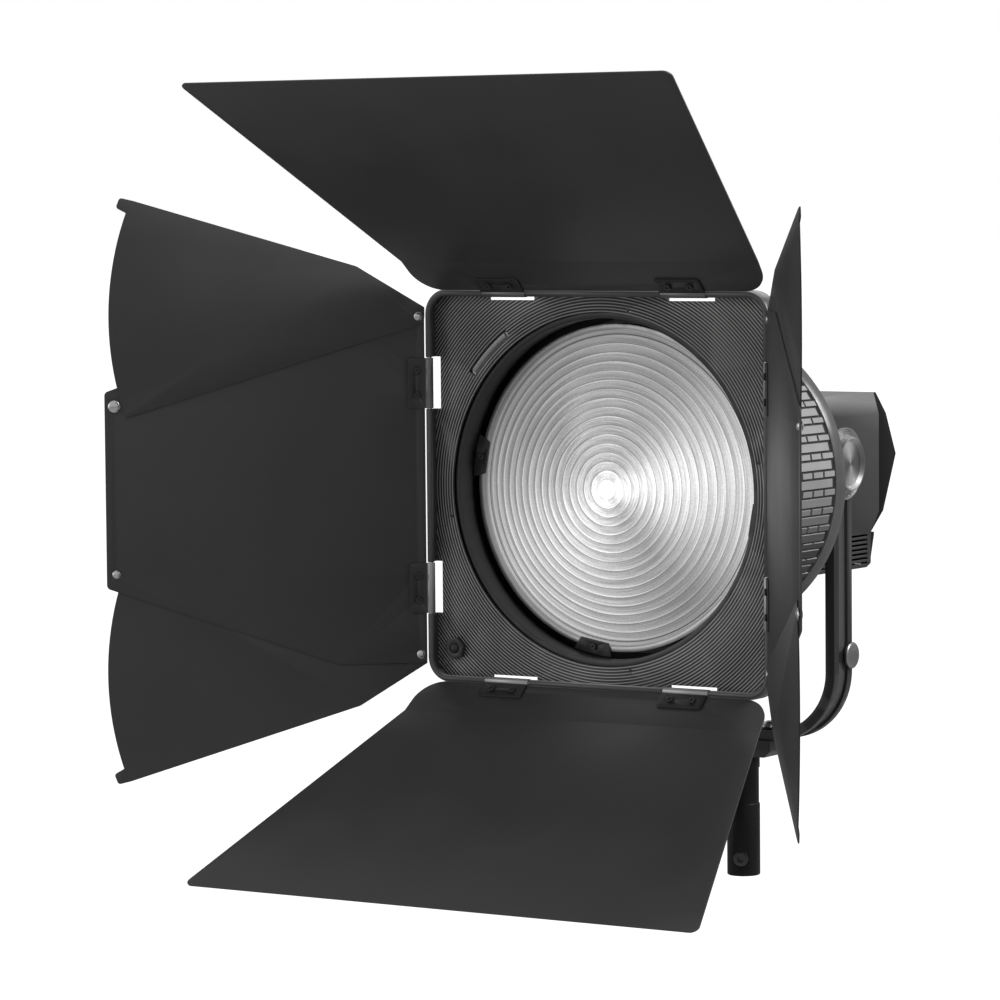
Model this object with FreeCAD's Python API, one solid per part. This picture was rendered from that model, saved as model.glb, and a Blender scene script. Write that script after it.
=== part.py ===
import FreeCAD, Part
import math
import os

# Fresnel spotlight with barn doors. Millimetres. The origin is the centre of the stand
# socket's mouth, +Z is up, the light shines towards -Y, and +X is to the right of
# somebody who looks into the lens.

V = FreeCAD.Vector
X_AXIS = V(1, 0, 0)
Y_AXIS = V(0, 1, 0)
Z_AXIS = V(0, 0, 1)

# ---- driving dimensions: stand socket and yoke ----
SOCKET_BORE_R = 8.05
SOCKET_BORE_DEPTH = 50.0
SOCKET_R = 14.0
SOCKET_TOP_Z = 61.3
STEM_R = 13.2
COLLAR_Z = 91.5
BRACKET_Z = 102.7
YOKE_BOTTOM_Z = 117.0
YOKE_THICKNESS = 8.5
YOKE_WIDTH = 31.0
YOKE_OUTER_X = 96.0
YOKE_BEND_R = 60.0
CHANNEL_WIDTH = 15.0
CHANNEL_DEPTH = 2.5
LOCK_SCREW_Z = 15.0
LOCK_SCREW_R = 3.95
LOCK_HEAD_R = 6.4
LOCK_SCREW_DEG = 19.0
LOCK_HEAD_SEAT = 10.6
BASE_BOLT_X = 26.0
BASE_WASHER_R = 9.9
M8_HOLE_R = 4.0
PLUG_Z = 189.5
THUMB_Y = 12.2
THUMB_R = 11.0
THUMB_PIN_R = 2.5
TILT_WASHER_R = 30.0
TILT_WASHER_THICKNESS = 3.4

# ---- driving dimensions: lamp head ----
OPTIC_Z = 339.0
TILT_Z = 350.0
PLATE_Y = -226.0
KNOB_R = 22.5
KNOB_WIDTH = 5.8
PIVOT_R = 4.0
BODY_HALF_W = 75.0
BODY_FRONT_Y = -3.0
BODY_REAR_Y = 104.0
WALL = 2.5
FOOT_DEPTH = 8.0
FRONT_HOLE_R = 40.0
NECK_R = 73.0
UPPER_SLOPE_MIDDLE = (121.5, 38.75)
UPPER_SLOPE_DEG = math.degrees(math.atan2(27, 53.5))
LOWER_SLOPE_MIDDLE = (123.5, -11.5)
LOWER_SLOPE_DEG = -math.degrees(math.atan2(23, 47))
BUTTON_XS = (-24, 0, 24)
POWER_Z = OPTIC_Z - 68.5

# The body's outline across X, with heights measured from the optical axis, and the back
# cover's outline across Y.
BODY_OUTLINE = [
    (-63, -84), (63, -84), (67, -80), (67, -54), (75, -35.3), (75, 47.4), (70, 65.5),
    (-70, 65.5), (-75, 47.4), (-75, -35.3), (-67, -54), (-67, -80),
]
REAR_OUTLINE = [(BODY_REAR_Y, 65.5), (BODY_REAR_Y, -53.5), (112, -35), (135, 12), (108, 65.5)]
REAR_HOLLOW = [(BODY_REAR_Y - 1, 63), (BODY_REAR_Y - 1, -49), (110, -33.5), (132.1, 12), (106.6, 63)]

# ---- driving dimensions: lens, focus barrel and grip ----
LENS_R = 127.5
LENS_SAG = 22.0
LENS_APEX_Y = PLATE_Y + 7.0
LENS_THICKNESS = 5.0
LENS_RINGS = 16
HOLDER_R = 132.0
HOLDER_FRONT_Y = PLATE_Y + 24.0
BARREL_R = 140.0
JOURNAL_R = 143.95
GRIP_R = 124.3
GRIP_FRONT_Y = -138.0
GRIP_REAR_Y = -64.0
FLANGE_R = 127.4
GRIP_RIBS = 100
CORE_R = 118.5
GUIDE_AT = 103.0
GUIDE_R = 3.0
GUIDE_ANGLES = (45, 165, 285)
CLIP_ANGLES = (100, 190, 280)
CLIP_SCREW_AT = 130.5

# ---- driving dimensions: door plate and doors ----
PLATE_HALF = 160.0
PLATE_CORNER_R = 20.0
PLATE_THICKNESS = 2.0
OPENING_R = 142.0
HINGE_AT = 157.0
HINGE_FORWARD = 11.0
BEAD_R = 2.8
ROD_R = 2.0
KNUCKLE_R = 3.3
HINGE_CENTRE = 83.6
HINGE_WIDTH = 41.0
WINDOW_WIDTH = 42.4
WINDOW_INNER = 153.2
TOP_WINDOW_INNER = 151.2
DOOR_THICKNESS = 1.2
FLAP_THICKNESS = 1.0
FLAP_GAP = 0.15
SIDE_DOOR_LENGTH = 263.8
SIDE_KNEE_S = 75.3
SIDE_KNEE_T = 144.9
SIDE_TIP_T = 79.4
PIVOT_S = 8.7
PIVOT_T = 137.9
STOP_S = 256.0
STOP_T = 68.0
FLAP_END_R = 5.1
FLAP_ARC_R = 251.0
FOLD_S = 37.6
FOLD_DEG = 12.1
TOP_FAR_LENGTH = 265.0
BOTTOM_FAR_LENGTH = 245.0
FOLD_HALF_W = 165.0
NEAR_HALF_W = 161.0
TOP_HALF_W = 220.0
BOTTOM_HALF_W = 233.0
LEFT_OPEN = 50.4
RIGHT_OPEN = 34.5
TOP_OPEN = 32.0
BOTTOM_OPEN = 29.2
UPPER_RIGHT_FOLD = 2.4
LOWER_LEFT_EXTRA = 8.0
RUNNING_GAP = 0.05
HINGE_ROD_LENGTH = 50.0
STRAP_SCREW_S = 10.5
STRAP_SCREW_T = 10.0
LOCK_NUT_X = -140.0
LOCK_NUT_Z = -133.0
PLATE_SCREW_AT = 146.0
PLATE_SCREW_ANGLES = (10, 80, 190, 280)
SPRING_AT = 153.0
SPRING_DEG = 134.5


# ---- small helpers ----
def box(x0, x1, y0, y1, z0, z1):
    return Part.makeBox(x1 - x0, y1 - y0, z1 - z0, V(x0, y0, z0))


def rod(start, direction, radius, length):
    return Part.makeCylinder(radius, length, start, direction)


def tube(start, direction, outer, inner, length):
    return rod(start, direction, outer, length).cut(rod(start, direction, inner, length))


def ring(outer, inner, y0, y1):
    """A ring round the optical axis from y0 back to y1."""
    return tube(V(0, y0, OPTIC_Z), Y_AXIS, outer, inner, y1 - y0)


def disc(radius, y0, y1):
    return rod(V(0, y0, OPTIC_Z), Y_AXIS, radius, y1 - y0)


def prism(points, vector):
    """A straight prism on a closed outline of points."""
    wire = Part.makePolygon(points + [points[0]])
    return Part.Face(wire).extrude(vector)


def fuse(shapes):
    whole = shapes[0].multiFuse(shapes[1:]) if len(shapes) > 1 else shapes[0]
    return whole.removeSplitter()


def turned(profile, start, axis):
    """A solid turned from an outline in the XY plane: x is the radius, y runs along the axis."""
    points = [V(r, a, 0) for r, a in profile]
    solid = Part.Face(Part.makePolygon(points + [points[0]])).revolve(V(0, 0, 0), Y_AXIS, 360)
    solid.Placement = FreeCAD.Placement(start, FreeCAD.Rotation(Y_AXIS, axis))
    return solid


def turned_on_axis(profile):
    """A solid turned round the optical axis, with the profile's second value as row Y."""
    return turned(profile, V(0, 0, OPTIC_Z), Y_AXIS)


def edges_along(solid, axis, near=None):
    """The straight edges along an axis, or only those that pass near one of the given points."""
    found = []
    for edge in solid.Edges:
        if edge.Curve.TypeId != "Part::GeomLine":
            continue
        way = edge.tangentAt(edge.FirstParameter)
        if abs(way.dot(axis)) < 0.999:
            continue
        if near is None or any(passes_near(edge, axis, point) for point in near):
            found.append(edge)
    return found


def passes_near(edge, axis, point):
    offset = edge.Vertexes[0].Point - point
    across = offset - axis * offset.dot(axis)
    return across.Length < 0.5


def rounded(solid, axis, radius, near=None):
    return solid.makeFillet(radius, edges_along(solid, axis, near))


def inset(points, distance):
    """A convex outline of 2-D points moved inwards by a distance. The outline runs anticlockwise."""
    moved = []
    count = len(points)
    for i in range(count):
        a, b, c = points[i - 1], points[i], points[(i + 1) % count]
        first = unit_2d(b[0] - a[0], b[1] - a[1])
        second = unit_2d(c[0] - b[0], c[1] - b[1])
        n1 = (-first[1], first[0])
        n2 = (-second[1], second[0])
        share = distance / (1 + n1[0] * n2[0] + n1[1] * n2[1])
        moved.append((b[0] + (n1[0] + n2[0]) * share, b[1] + (n1[1] + n2[1]) * share))
    return moved


def unit_2d(dx, dy):
    length = math.hypot(dx, dy)
    return dx / length, dy / length


def polar(radius, degrees):
    return radius * math.cos(math.radians(degrees)), radius * math.sin(math.radians(degrees))


def line_at(a, b):
    """A line between two (x, z) points."""
    return Part.makeLine(V(a[0], 0, a[1]), V(b[0], 0, b[1]))


def arc_at(a, b, c):
    """An arc through three (x, z) points."""
    return Part.Arc(V(a[0], 0, a[1]), V(b[0], 0, b[1]), V(c[0], 0, c[1])).toShape()


def dome_head(start, axis, radius, height):
    """A low domed screw head whose flat side sits at start."""
    sphere_r = (radius * radius + height * height) / (2 * height)
    ball = Part.makeSphere(sphere_r, V(0, 0, height - sphere_r))
    head = ball.common(rod(V(0, 0, 0), Z_AXIS, radius, height))
    head.Placement = FreeCAD.Placement(start, FreeCAD.Rotation(Z_AXIS, axis)).multiply(head.Placement)
    return head


def cap_screw(start, axis, shank_r, length, head_r, head_height, key_r):
    """A socket head screw: the head's underside is at start and the shank runs against axis."""
    shape = rod(start - axis * length, axis, shank_r, length)
    shape = shape.fuse(rod(start, axis, head_r, head_height))
    key = rod(start + axis * (head_height * 0.4), axis, key_r, head_height)
    return shape.cut(key)


def around_optic(shape, degrees):
    """A copy turned round the optical axis: 90 takes the left side to the top."""
    copy = shape.copy()
    copy.rotate(V(0, 0, OPTIC_Z), Y_AXIS, degrees)
    return copy


def mirrored_x(shape):
    return shape.mirror(V(0, 0, 0), X_AXIS)


def group(shapes):
    solids = []
    for shape in shapes:
        solids.extend(shape.Solids)
    return Part.makeCompound(solids)


# ---- stand socket and yoke ----
def stand_socket():
    """The receiver for a stand's spigot, with its thinner stem and collar, in one turned piece."""
    body = rod(V(0, 0, 0), Z_AXIS, SOCKET_R, SOCKET_TOP_Z)
    body = body.makeChamfer(0.8, [e for e in body.Edges if e.Curve.TypeId == "Part::GeomCircle"])
    body = body.fuse(rod(V(0, 0, SOCKET_TOP_Z), Z_AXIS, STEM_R, COLLAR_Z - SOCKET_TOP_Z))
    body = body.fuse(rod(V(0, 0, COLLAR_Z), Z_AXIS, SOCKET_R, BRACKET_Z - COLLAR_Z))
    body = body.cut(rod(V(0, 0, 0), Z_AXIS, SOCKET_BORE_R, SOCKET_BORE_DEPTH))
    side = lock_direction()
    level = V(0, 0, LOCK_SCREW_Z)
    body = body.cut(rod(level, side, LOCK_SCREW_R + RUNNING_GAP, SOCKET_R + 1))
    body = body.cut(rod(level + side * LOCK_HEAD_SEAT, side, LOCK_HEAD_R + RUNNING_GAP, SOCKET_R))
    return body.cut(rod(V(0, 0, BRACKET_Z - 22), Z_AXIS, M8_HOLE_R, 23)).removeSplitter()


def lock_direction():
    """The way the socket's lock screw points: forwards and a little to the right."""
    return V(math.sin(math.radians(LOCK_SCREW_DEG)), -math.cos(math.radians(LOCK_SCREW_DEG)), 0)


def socket_lock_screw():
    """A short headed screw that clamps the spigot, flush with the socket, with a hex key recess."""
    side = lock_direction()
    level = V(0, 0, LOCK_SCREW_Z)
    tip = SOCKET_BORE_R + 0.6
    face = SOCKET_R - 0.3
    screw = rod(level + side * tip, side, LOCK_SCREW_R, face - tip)
    screw = screw.fuse(rod(level + side * LOCK_HEAD_SEAT, side, LOCK_HEAD_R, face - LOCK_HEAD_SEAT))
    corners = [polar(3.4, 60 * i) for i in range(6)]
    key = prism([V(x, y, 0) for x, y in corners], V(0, 0, 4))
    key.Placement = FreeCAD.Placement(level + side * (face - 2.2), FreeCAD.Rotation(Z_AXIS, side))
    return screw.cut(key)


def yoke_outline(offset, top_z):
    """The yoke's U shape as a face across X and Z, moved inwards by offset."""
    half = YOKE_OUTER_X - offset
    low = YOKE_BOTTOM_Z + offset
    bend = YOKE_BEND_R - offset
    swing = bend * math.sin(math.radians(45))
    centre_x = half - bend
    centre_z = low + bend
    reach = centre_x + swing
    dip = centre_z - swing
    edges = [
        line_at((-half, top_z), (-half, centre_z)),
        arc_at((-half, centre_z), (-reach, dip), (-centre_x, low)),
        line_at((-centre_x, low), (centre_x, low)),
        arc_at((centre_x, low), (reach, dip), (half, centre_z)),
        line_at((half, centre_z), (half, top_z)),
        line_at((half, top_z), (-half, top_z)),
    ]
    return Part.Face(Part.Wire(edges))


def yoke_bar(outer_offset, inner_offset, half_width, top_z):
    outer = yoke_outline(outer_offset, top_z).extrude(V(0, 2 * half_width, 0))
    inner = yoke_outline(inner_offset, top_z + 1).extrude(V(0, 2 * half_width, 0))
    bar = outer.cut(inner)
    bar.translate(V(0, -half_width, 0))
    return bar


def yoke_frame():
    """The U bracket: a flat bar with a channel along its outer face and round ends at the pivots."""
    half_w = YOKE_WIDTH / 2
    bar = yoke_bar(0, YOKE_THICKNESS, half_w, TILT_Z + half_w)
    corner = [V(0, -half_w, TILT_Z + half_w), V(0, half_w, TILT_Z + half_w)]
    bar = rounded(bar, X_AXIS, half_w - 0.2, corner)
    channel_top = TILT_Z - KNOB_R
    bar = bar.cut(yoke_bar(-1, CHANNEL_DEPTH, CHANNEL_WIDTH / 2, channel_top))
    pivot = rod(V(-YOKE_OUTER_X - 1, 0, TILT_Z), X_AXIS, PIVOT_R + RUNNING_GAP, 2 * YOKE_OUTER_X + 2)
    bar = bar.cut(pivot)
    for x in (-BASE_BOLT_X, 0, BASE_BOLT_X):
        bar = bar.cut(rod(V(x, 0, YOKE_BOTTOM_Z - 1), Z_AXIS, M8_HOLE_R, YOKE_THICKNESS + 2))
    bar = bar.cut(rod(V(YOKE_OUTER_X - 6.0, THUMB_Y, PLUG_Z), X_AXIS, THUMB_PIN_R + RUNNING_GAP, 7))
    return bar.removeSplitter()


def base_bracket():
    """The chamfered block under the yoke that takes the socket's load, with a tongue in the channel."""
    low, top = BRACKET_Z, YOKE_BOTTOM_Z
    outline = [
        V(-30, 0, low), V(30, 0, low), V(36, 0, low + 5.5),
        V(36, 0, top), V(-36, 0, top), V(-36, 0, low + 5.5),
    ]
    block = prism(outline, V(0, 36, 0))
    block.translate(V(0, -18, 0))
    tongue_w = CHANNEL_WIDTH / 2 - 0.1
    block = block.fuse(box(-34, 34, -tongue_w, tongue_w, top, top + CHANNEL_DEPTH))
    for x in (-BASE_BOLT_X, 0, BASE_BOLT_X):
        block = block.cut(rod(V(x, 0, low - 1), Z_AXIS, M8_HOLE_R, 30))
    return block.removeSplitter()


def base_bolts():
    """Two domed bolts that hold the bracket to the yoke, from inside the U."""
    bolts = []
    seat = YOKE_BOTTOM_Z + YOKE_THICKNESS + 2.0
    for x in (-BASE_BOLT_X, BASE_BOLT_X):
        head = dome_head(V(x, 0, seat), Z_AXIS, 9.0, 5.0)
        shank = rod(V(x, 0, BRACKET_Z + 2), Z_AXIS, M8_HOLE_R - RUNNING_GAP, seat - BRACKET_Z - 2)
        bolts.append(head.fuse(shank))
    return group(bolts)


def socket_bolt():
    """The bolt that runs down through the yoke and bracket into the socket's stem."""
    seat = YOKE_BOTTOM_Z + YOKE_THICKNESS
    shank_r = M8_HOLE_R - RUNNING_GAP
    return cap_screw(V(0, 0, seat), Z_AXIS, shank_r, seat - BRACKET_Z + 18, 6.5, 4.5, 3.0)


def channel_plug():
    """The dark plug that closes the right arm's channel beside the thumb screw."""
    half_w = CHANNEL_WIDTH / 2 - 0.1
    return box(YOKE_OUTER_X - CHANNEL_DEPTH, YOKE_OUTER_X - 0.8, -half_w, half_w, PLUG_Z - 4, PLUG_Z + 4)


def arm_thumb_screw():
    """The silver thumb screw on the outer face of the right arm, over its rear rail."""
    seat = YOKE_OUTER_X + 0.3
    screw = rod(V(YOKE_OUTER_X - 5.0, THUMB_Y, PLUG_Z), X_AXIS, THUMB_PIN_R, 6)
    profile = [(0, 0), (THUMB_R, 0), (THUMB_R, 2.0), (THUMB_R - 1.0, 2.8), (4.0, 3.6), (0, 3.6)]
    return screw.fuse(turned(profile, V(seat, THUMB_Y, PLUG_Z), X_AXIS)).removeSplitter()


def tilt_knob():
    """The tilt lock: a dished silver disc with a serrated rim, on a long screw into the head."""
    teeth = 72
    outline = []
    for i in range(teeth * 2):
        y, z = polar(KNOB_R if i % 2 else KNOB_R - 0.7, 180.0 * i / teeth)
        outline.append(V(0, y, z))
    start = YOKE_OUTER_X + TILT_WASHER_THICKNESS + 0.2
    rim = prism(outline, V(KNOB_WIDTH, 0, 0))
    rim.translate(V(start, 0, TILT_Z))
    dish_profile = [
        (0, 1), (KNOB_R - 1.6, 1), (KNOB_R - 1.6, 0), (KNOB_R - 4.0, -2.8), (6.0, -1.8), (0, -1.8),
    ]
    dish = turned(dish_profile, V(start + KNOB_WIDTH, 0, TILT_Z), X_AXIS)
    shank = rod(V(BODY_HALF_W + 1, 0, TILT_Z), X_AXIS, PIVOT_R, start - BODY_HALF_W)
    return rim.cut(dish).fuse(shank).removeSplitter()


def yoke_washers():
    """The washers on the yoke: under the base bolts and on both faces of each arm's pivot."""
    seat = YOKE_BOTTOM_Z + YOKE_THICKNESS
    inner_x = YOKE_OUTER_X - YOKE_THICKNESS
    washers = []
    for x in (-BASE_BOLT_X, BASE_BOLT_X):
        washers.append(tube(V(x, 0, seat), Z_AXIS, BASE_WASHER_R, M8_HOLE_R, 2.0))
    inner = tube(V(inner_x - 1.1, 0, TILT_Z), X_AXIS, 13.0, PIVOT_R + RUNNING_GAP, 1.1)
    left = tube(V(YOKE_OUTER_X, 0, TILT_Z), X_AXIS, 13.0, PIVOT_R + RUNNING_GAP, 1.5)
    washers.extend([inner, mirrored_x(inner), mirrored_x(left), tilt_washer()])
    return group(washers)


def tilt_washer():
    """The wide washer under the tilt knob, with fine round grooves near its edge."""
    face = TILT_WASHER_THICKNESS
    profile = [(PIVOT_R + RUNNING_GAP, 0), (TILT_WASHER_R, 0), (TILT_WASHER_R, face)]
    for i in range(3):
        outer = TILT_WASHER_R - 1.2 - 1.6 * i
        inner = outer - 0.6
        profile.extend([(outer, face), (outer, face - 0.5), (inner, face - 0.5), (inner, face)])
    profile.append((PIVOT_R + RUNNING_GAP, face))
    return turned(profile, V(YOKE_OUTER_X, 0, TILT_Z), X_AXIS)


def left_pivot_bolt():
    """The plain domed pivot bolt of the left arm, drawn on the right and mirrored."""
    start = YOKE_OUTER_X + 1.5
    shank = rod(V(BODY_HALF_W + 1, 0, TILT_Z), X_AXIS, PIVOT_R, start - BODY_HALF_W - 0.5)
    bolt = shank.fuse(dome_head(V(start, 0, TILT_Z), X_AXIS, 11.0, 5.0)).removeSplitter()
    return mirrored_x(bolt)


def tilt_bosses():
    """The round friction bosses on the head's sides, with a thread for the tilt screw."""
    inner_x = YOKE_OUTER_X - YOKE_THICKNESS
    boss = rod(V(BODY_HALF_W, 0, TILT_Z), X_AXIS, 15.0, 3.5)
    boss = boss.fuse(rod(V(BODY_HALF_W, 0, TILT_Z), X_AXIS, 13.0, inner_x - BODY_HALF_W - 1.2))
    boss = boss.cut(rod(V(BODY_HALF_W - 1, 0, TILT_Z), X_AXIS, PIVOT_R + RUNNING_GAP, 30))
    return group([boss, mirrored_x(boss)])


# ---- lamp head ----
def body_prism(outline, y0, y1):
    points = [V(x, y0, OPTIC_Z + z) for x, z in outline]
    return prism(points, V(0, y1 - y0, 0))


def lamp_housing():
    """The faceted body shell, open at the back, with vent slots low on both sides."""
    shell = body_prism(BODY_OUTLINE, BODY_FRONT_Y, BODY_REAR_Y)
    shell = shell.cut(body_prism(inset(BODY_OUTLINE, WALL), BODY_FRONT_Y + WALL, BODY_REAR_Y + 1))
    shell = shell.cut(disc(FRONT_HOLE_R, BODY_FRONT_Y - 1, BODY_FRONT_Y + WALL + 1))
    for i in range(7):
        z = OPTIC_Z - 80.5 + 3.9 * i
        for side in (-1, 1):
            shell = shell.cut(box(side * 66 - 3, side * 66 + 3, 14, 98, z, z + 2.2))
    return shell.removeSplitter()


def rear_cover():
    """The wedge-shaped back cover with openings for the display, dial, buttons and sockets."""
    cover = wedge(REAR_OUTLINE, BODY_HALF_W).cut(wedge(REAR_HOLLOW, BODY_HALF_W - WALL))
    foot_outline = [(-66, -82), (66, -82), (66, -54), (-66, -54)]
    rear = BODY_REAR_Y + FOOT_DEPTH
    foot = body_prism(foot_outline, BODY_REAR_Y, rear)
    slope = prism([V(48, y, OPTIC_Z + z) for y, z in ((103.5, -83), (113, -83), (113, -53))], V(20, 0, 0))
    cover = cover.fuse(foot.cut(slope).cut(mirrored_x(slope)))
    cover = cover.cut(on_upper_slope(Part.makeBox(54, 24, 12, V(-27, -12, -9))))
    cover = cover.cut(on_lower_slope(Part.makeCylinder(4.1, 12, V(0, 10, -9), Z_AXIS)))
    for x in BUTTON_XS:
        cover = cover.cut(on_lower_slope(Part.makeCylinder(4.6, 12, V(x, -16, -9), Z_AXIS)))
    for x0, x1 in ((-45, -17), (18, 32)):
        cover = cover.cut(box(x0, x1, BODY_REAR_Y - 1, rear + 1, POWER_Z - 10.5, POWER_Z + 10.5))
    return cover.removeSplitter()


def wedge(side_outline, half):
    """The back cover's block between its side outline and a half width."""
    block = prism([V(-half, y, OPTIC_Z + z) for y, z in side_outline], V(2 * half, 0, 0))
    across = [(x * half / BODY_HALF_W, z) for x, z in BODY_OUTLINE]
    return block.common(body_prism(across, BODY_REAR_Y - 2, BODY_REAR_Y + 36))


def on_slope(shape, middle, tilt):
    """Stands a part built on the XY plane, looking along +Z, on a sloping rear face."""
    turn = FreeCAD.Rotation(X_AXIS, tilt - 90).multiply(FreeCAD.Rotation(Z_AXIS, 180))
    copy = shape.copy()
    copy.Placement = FreeCAD.Placement(V(0, middle[0], OPTIC_Z + middle[1]), turn)
    return copy


def on_upper_slope(shape):
    return on_slope(shape, UPPER_SLOPE_MIDDLE, UPPER_SLOPE_DEG)


def on_lower_slope(shape):
    return on_slope(shape, LOWER_SLOPE_MIDDLE, LOWER_SLOPE_DEG)


def display_window():
    window = Part.makeBox(53.4, 23.4, 2.2, V(-26.7, -11.7, -2.4))
    return on_upper_slope(window)


def control_dial():
    """The push and turn dial: a knurled drum on a thin shaft."""
    teeth = 36
    outline = []
    for i in range(teeth * 2):
        angle = math.radians(180.0 * i / teeth)
        radius = 9.5 if i % 2 else 9.0
        outline.append(V(radius * math.cos(angle), 10 + radius * math.sin(angle), 1.2))
    drum = prism(outline, V(0, 0, 9.0))
    shaft = Part.makeCylinder(3.0, 10.0, V(0, 10, -8.0), Z_AXIS)
    return on_lower_slope(drum.fuse(shaft))


def push_button(x):
    cap = Part.makeCylinder(4.5, 7.0, V(x, -16, -4.8), Z_AXIS)
    cap = cap.makeFillet(0.6, [cap.Edges[0]])
    return on_lower_slope(cap)


def control_board():
    """The circuit board behind the controls."""
    board = box(-52, 52, 98.0, 99.6, OPTIC_Z - 44, OPTIC_Z + 44)
    chip = box(-12, 12, 99.6, 101.2, OPTIC_Z - 8, OPTIC_Z + 16)
    return board.fuse(chip)


def power_sockets():
    """The three-pin mains inlet with its pins, and the frame of the power switch."""
    rear = BODY_REAR_Y + FOOT_DEPTH
    inlet = box(-44.6, -17.4, rear - 16, rear + 1.5, POWER_Z - 10.1, POWER_Z + 10.1)
    inlet = inlet.cut(box(-41.5, -20.5, rear - 11, rear + 2, POWER_Z - 7, POWER_Z + 7))
    for x, rise in ((-36, -2), (-31, 2.5), (-26, -2)):
        z = POWER_Z + rise
        inlet = inlet.fuse(box(x - 1, x + 1, rear - 11.5, rear - 3, z - 2, z + 2))
    frame = box(18.4, 31.6, rear - 14, rear + 1, POWER_Z - 10.1, POWER_Z + 10.1)
    frame = frame.cut(box(20, 30, rear - 12, rear + 2, POWER_Z - 8.5, POWER_Z + 8.5))
    return group([inlet, frame])


def power_switch_rocker():
    """The rocker: a key with two slopes on a round pin, which tips about the pin."""
    x = 20.4
    rear = BODY_REAR_Y + FOOT_DEPTH
    points = [
        V(x, rear - 5.0, POWER_Z - 7.6), V(x, rear + 0.5, POWER_Z - 7.6), V(x, rear - 2.0, POWER_Z),
        V(x, rear + 4.0, POWER_Z + 6.8), V(x, rear - 5.0, POWER_Z + 6.8),
    ]
    return prism(points, V(9.2, 0, 0)).fuse(rod(V(x, rear - 4.5, POWER_Z), X_AXIS, 2.0, 9.2))


def fan_frame():
    frame = box(-45, 45, 62, 84, OPTIC_Z - 45, OPTIC_Z + 45)
    frame = rounded(frame, Y_AXIS, 4.0)
    frame = frame.cut(disc(42.0, 61, 85))
    spider = box(-2.5, 2.5, 81, 84, OPTIC_Z - 43.5, OPTIC_Z + 43.5)
    spider = spider.fuse(box(-43.5, 43.5, 81, 84, OPTIC_Z - 2.5, OPTIC_Z + 2.5)).fuse(disc(17.0, 81, 84))
    spider = spider.cut(disc(2.05, 80, 85))
    return frame.fuse(spider).removeSplitter()


def fan_rotor():
    """The fan's hub, blades and shaft."""
    hub = disc(16.0, 64, 80).fuse(disc(2.0, 80, 84))
    blades = []
    for i in range(7):
        blade = box(14.0, 40.0, -0.7, 0.7, -9.0, 9.0)
        blade.rotate(V(0, 0, 0), X_AXIS, 55)
        blade.translate(V(0, 72, OPTIC_Z))
        blades.append(around_optic(blade, 360.0 * i / 7))
    return fuse([hub] + blades)


def heat_sink():
    """The LED's heat sink: a thick base with upright fins behind it."""
    sink = box(-52, 52, 4, 12, OPTIC_Z - 46, OPTIC_Z + 46)
    fins = [box(x - 0.9, x + 0.9, 12, 46, OPTIC_Z - 46, OPTIC_Z + 46) for x in range(-50, 51, 10)]
    corners = []
    for x in (-48, 48):
        for z in (OPTIC_Z - 42, OPTIC_Z + 42):
            corners.append(box(x - 4, x + 4, 12, 48, z - 4, z + 4))
    return fuse([sink] + fins + corners)


def led_board():
    """The square LED module with its holder ring."""
    board = box(-19, 19, 1.8, 4, OPTIC_Z - 19, OPTIC_Z + 19)
    return board.fuse(ring(21.0, 16.0, 0.8, 1.8))


def led_emitter():
    return disc(15.0, 0.9, 1.8)


def led_reflector():
    """A short bright cone in front of the LED."""
    return turned_on_axis([(16.5, -0.2), (36.0, -16.0), (37.5, -16.0), (37.5, -14.6), (19.0, -0.2)])


# ---- fresnel barrel, focus grip and lens carriage ----
def rear_cone():
    """The flanged cone that joins the fresnel barrel to the lamp body, with its narrow neck."""
    outer = [
        (45.0, BODY_FRONT_Y), (NECK_R, BODY_FRONT_Y), (NECK_R, -18.0), (82.0, -26.0), (82.0, -34.0),
        (86.0, -42.0), (123.5, -49.5), (FLANGE_R, -53.0), (124.8, GRIP_REAR_Y), (108.0, GRIP_REAR_Y),
        (108.0, -55.0), (80.0, -47.0), (70.0, -24.0), (66.0, -8.0), (45.0, -8.0),
    ]
    return turned_on_axis(outer)


def main_barrel():
    """The fixed tube of the fresnel head: a wide front drum, a step and a rear sleeve."""
    profile = [
        (137.0, PLATE_Y + 3.0), (JOURNAL_R, PLATE_Y + 3.0), (JOURNAL_R, PLATE_Y + 11.0),
        (BARREL_R, PLATE_Y + 11.0), (BARREL_R, PLATE_Y + 68.0), (124.0, PLATE_Y + 82.0),
        (113.0, PLATE_Y + 82.0), (113.0, GRIP_REAR_Y), (110.0, GRIP_REAR_Y),
        (110.0, PLATE_Y + 79.0), (122.0, PLATE_Y + 79.0), (137.0, PLATE_Y + 66.0),
    ]
    return turned_on_axis(profile)


def focus_ring_core():
    """The metal ring inside the rubber grip. It turns on the barrel's rear sleeve."""
    return ring(CORE_R, 113.05, GRIP_FRONT_Y - 4.0, GRIP_REAR_Y - 0.6)


def focus_grip():
    """The ribbed rubber grip of the focus ring."""
    outline = []
    low = GRIP_R - 1.4
    for i in range(GRIP_RIBS):
        wide = 0.62 if i % 2 else 0.42
        for share, radius in ((0.0, GRIP_R), (wide, GRIP_R), (wide + 0.03, low), (0.97, low)):
            x, z = polar(radius, (i + share) * 360.0 / GRIP_RIBS)
            outline.append(V(x, GRIP_FRONT_Y, OPTIC_Z + z))
    grip = prism(outline, V(0, GRIP_REAR_Y - 0.8 - GRIP_FRONT_Y, 0))
    return grip.cut(disc(CORE_R, GRIP_FRONT_Y - 1, GRIP_REAR_Y))


def guide_rods():
    """Three steel rods along which the lens carriage slides."""
    guide = rod(V(0, -166.0, OPTIC_Z + GUIDE_AT), Y_AXIS, GUIDE_R, 108.0)
    return group([around_optic(guide, angle) for angle in GUIDE_ANGLES])


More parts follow.
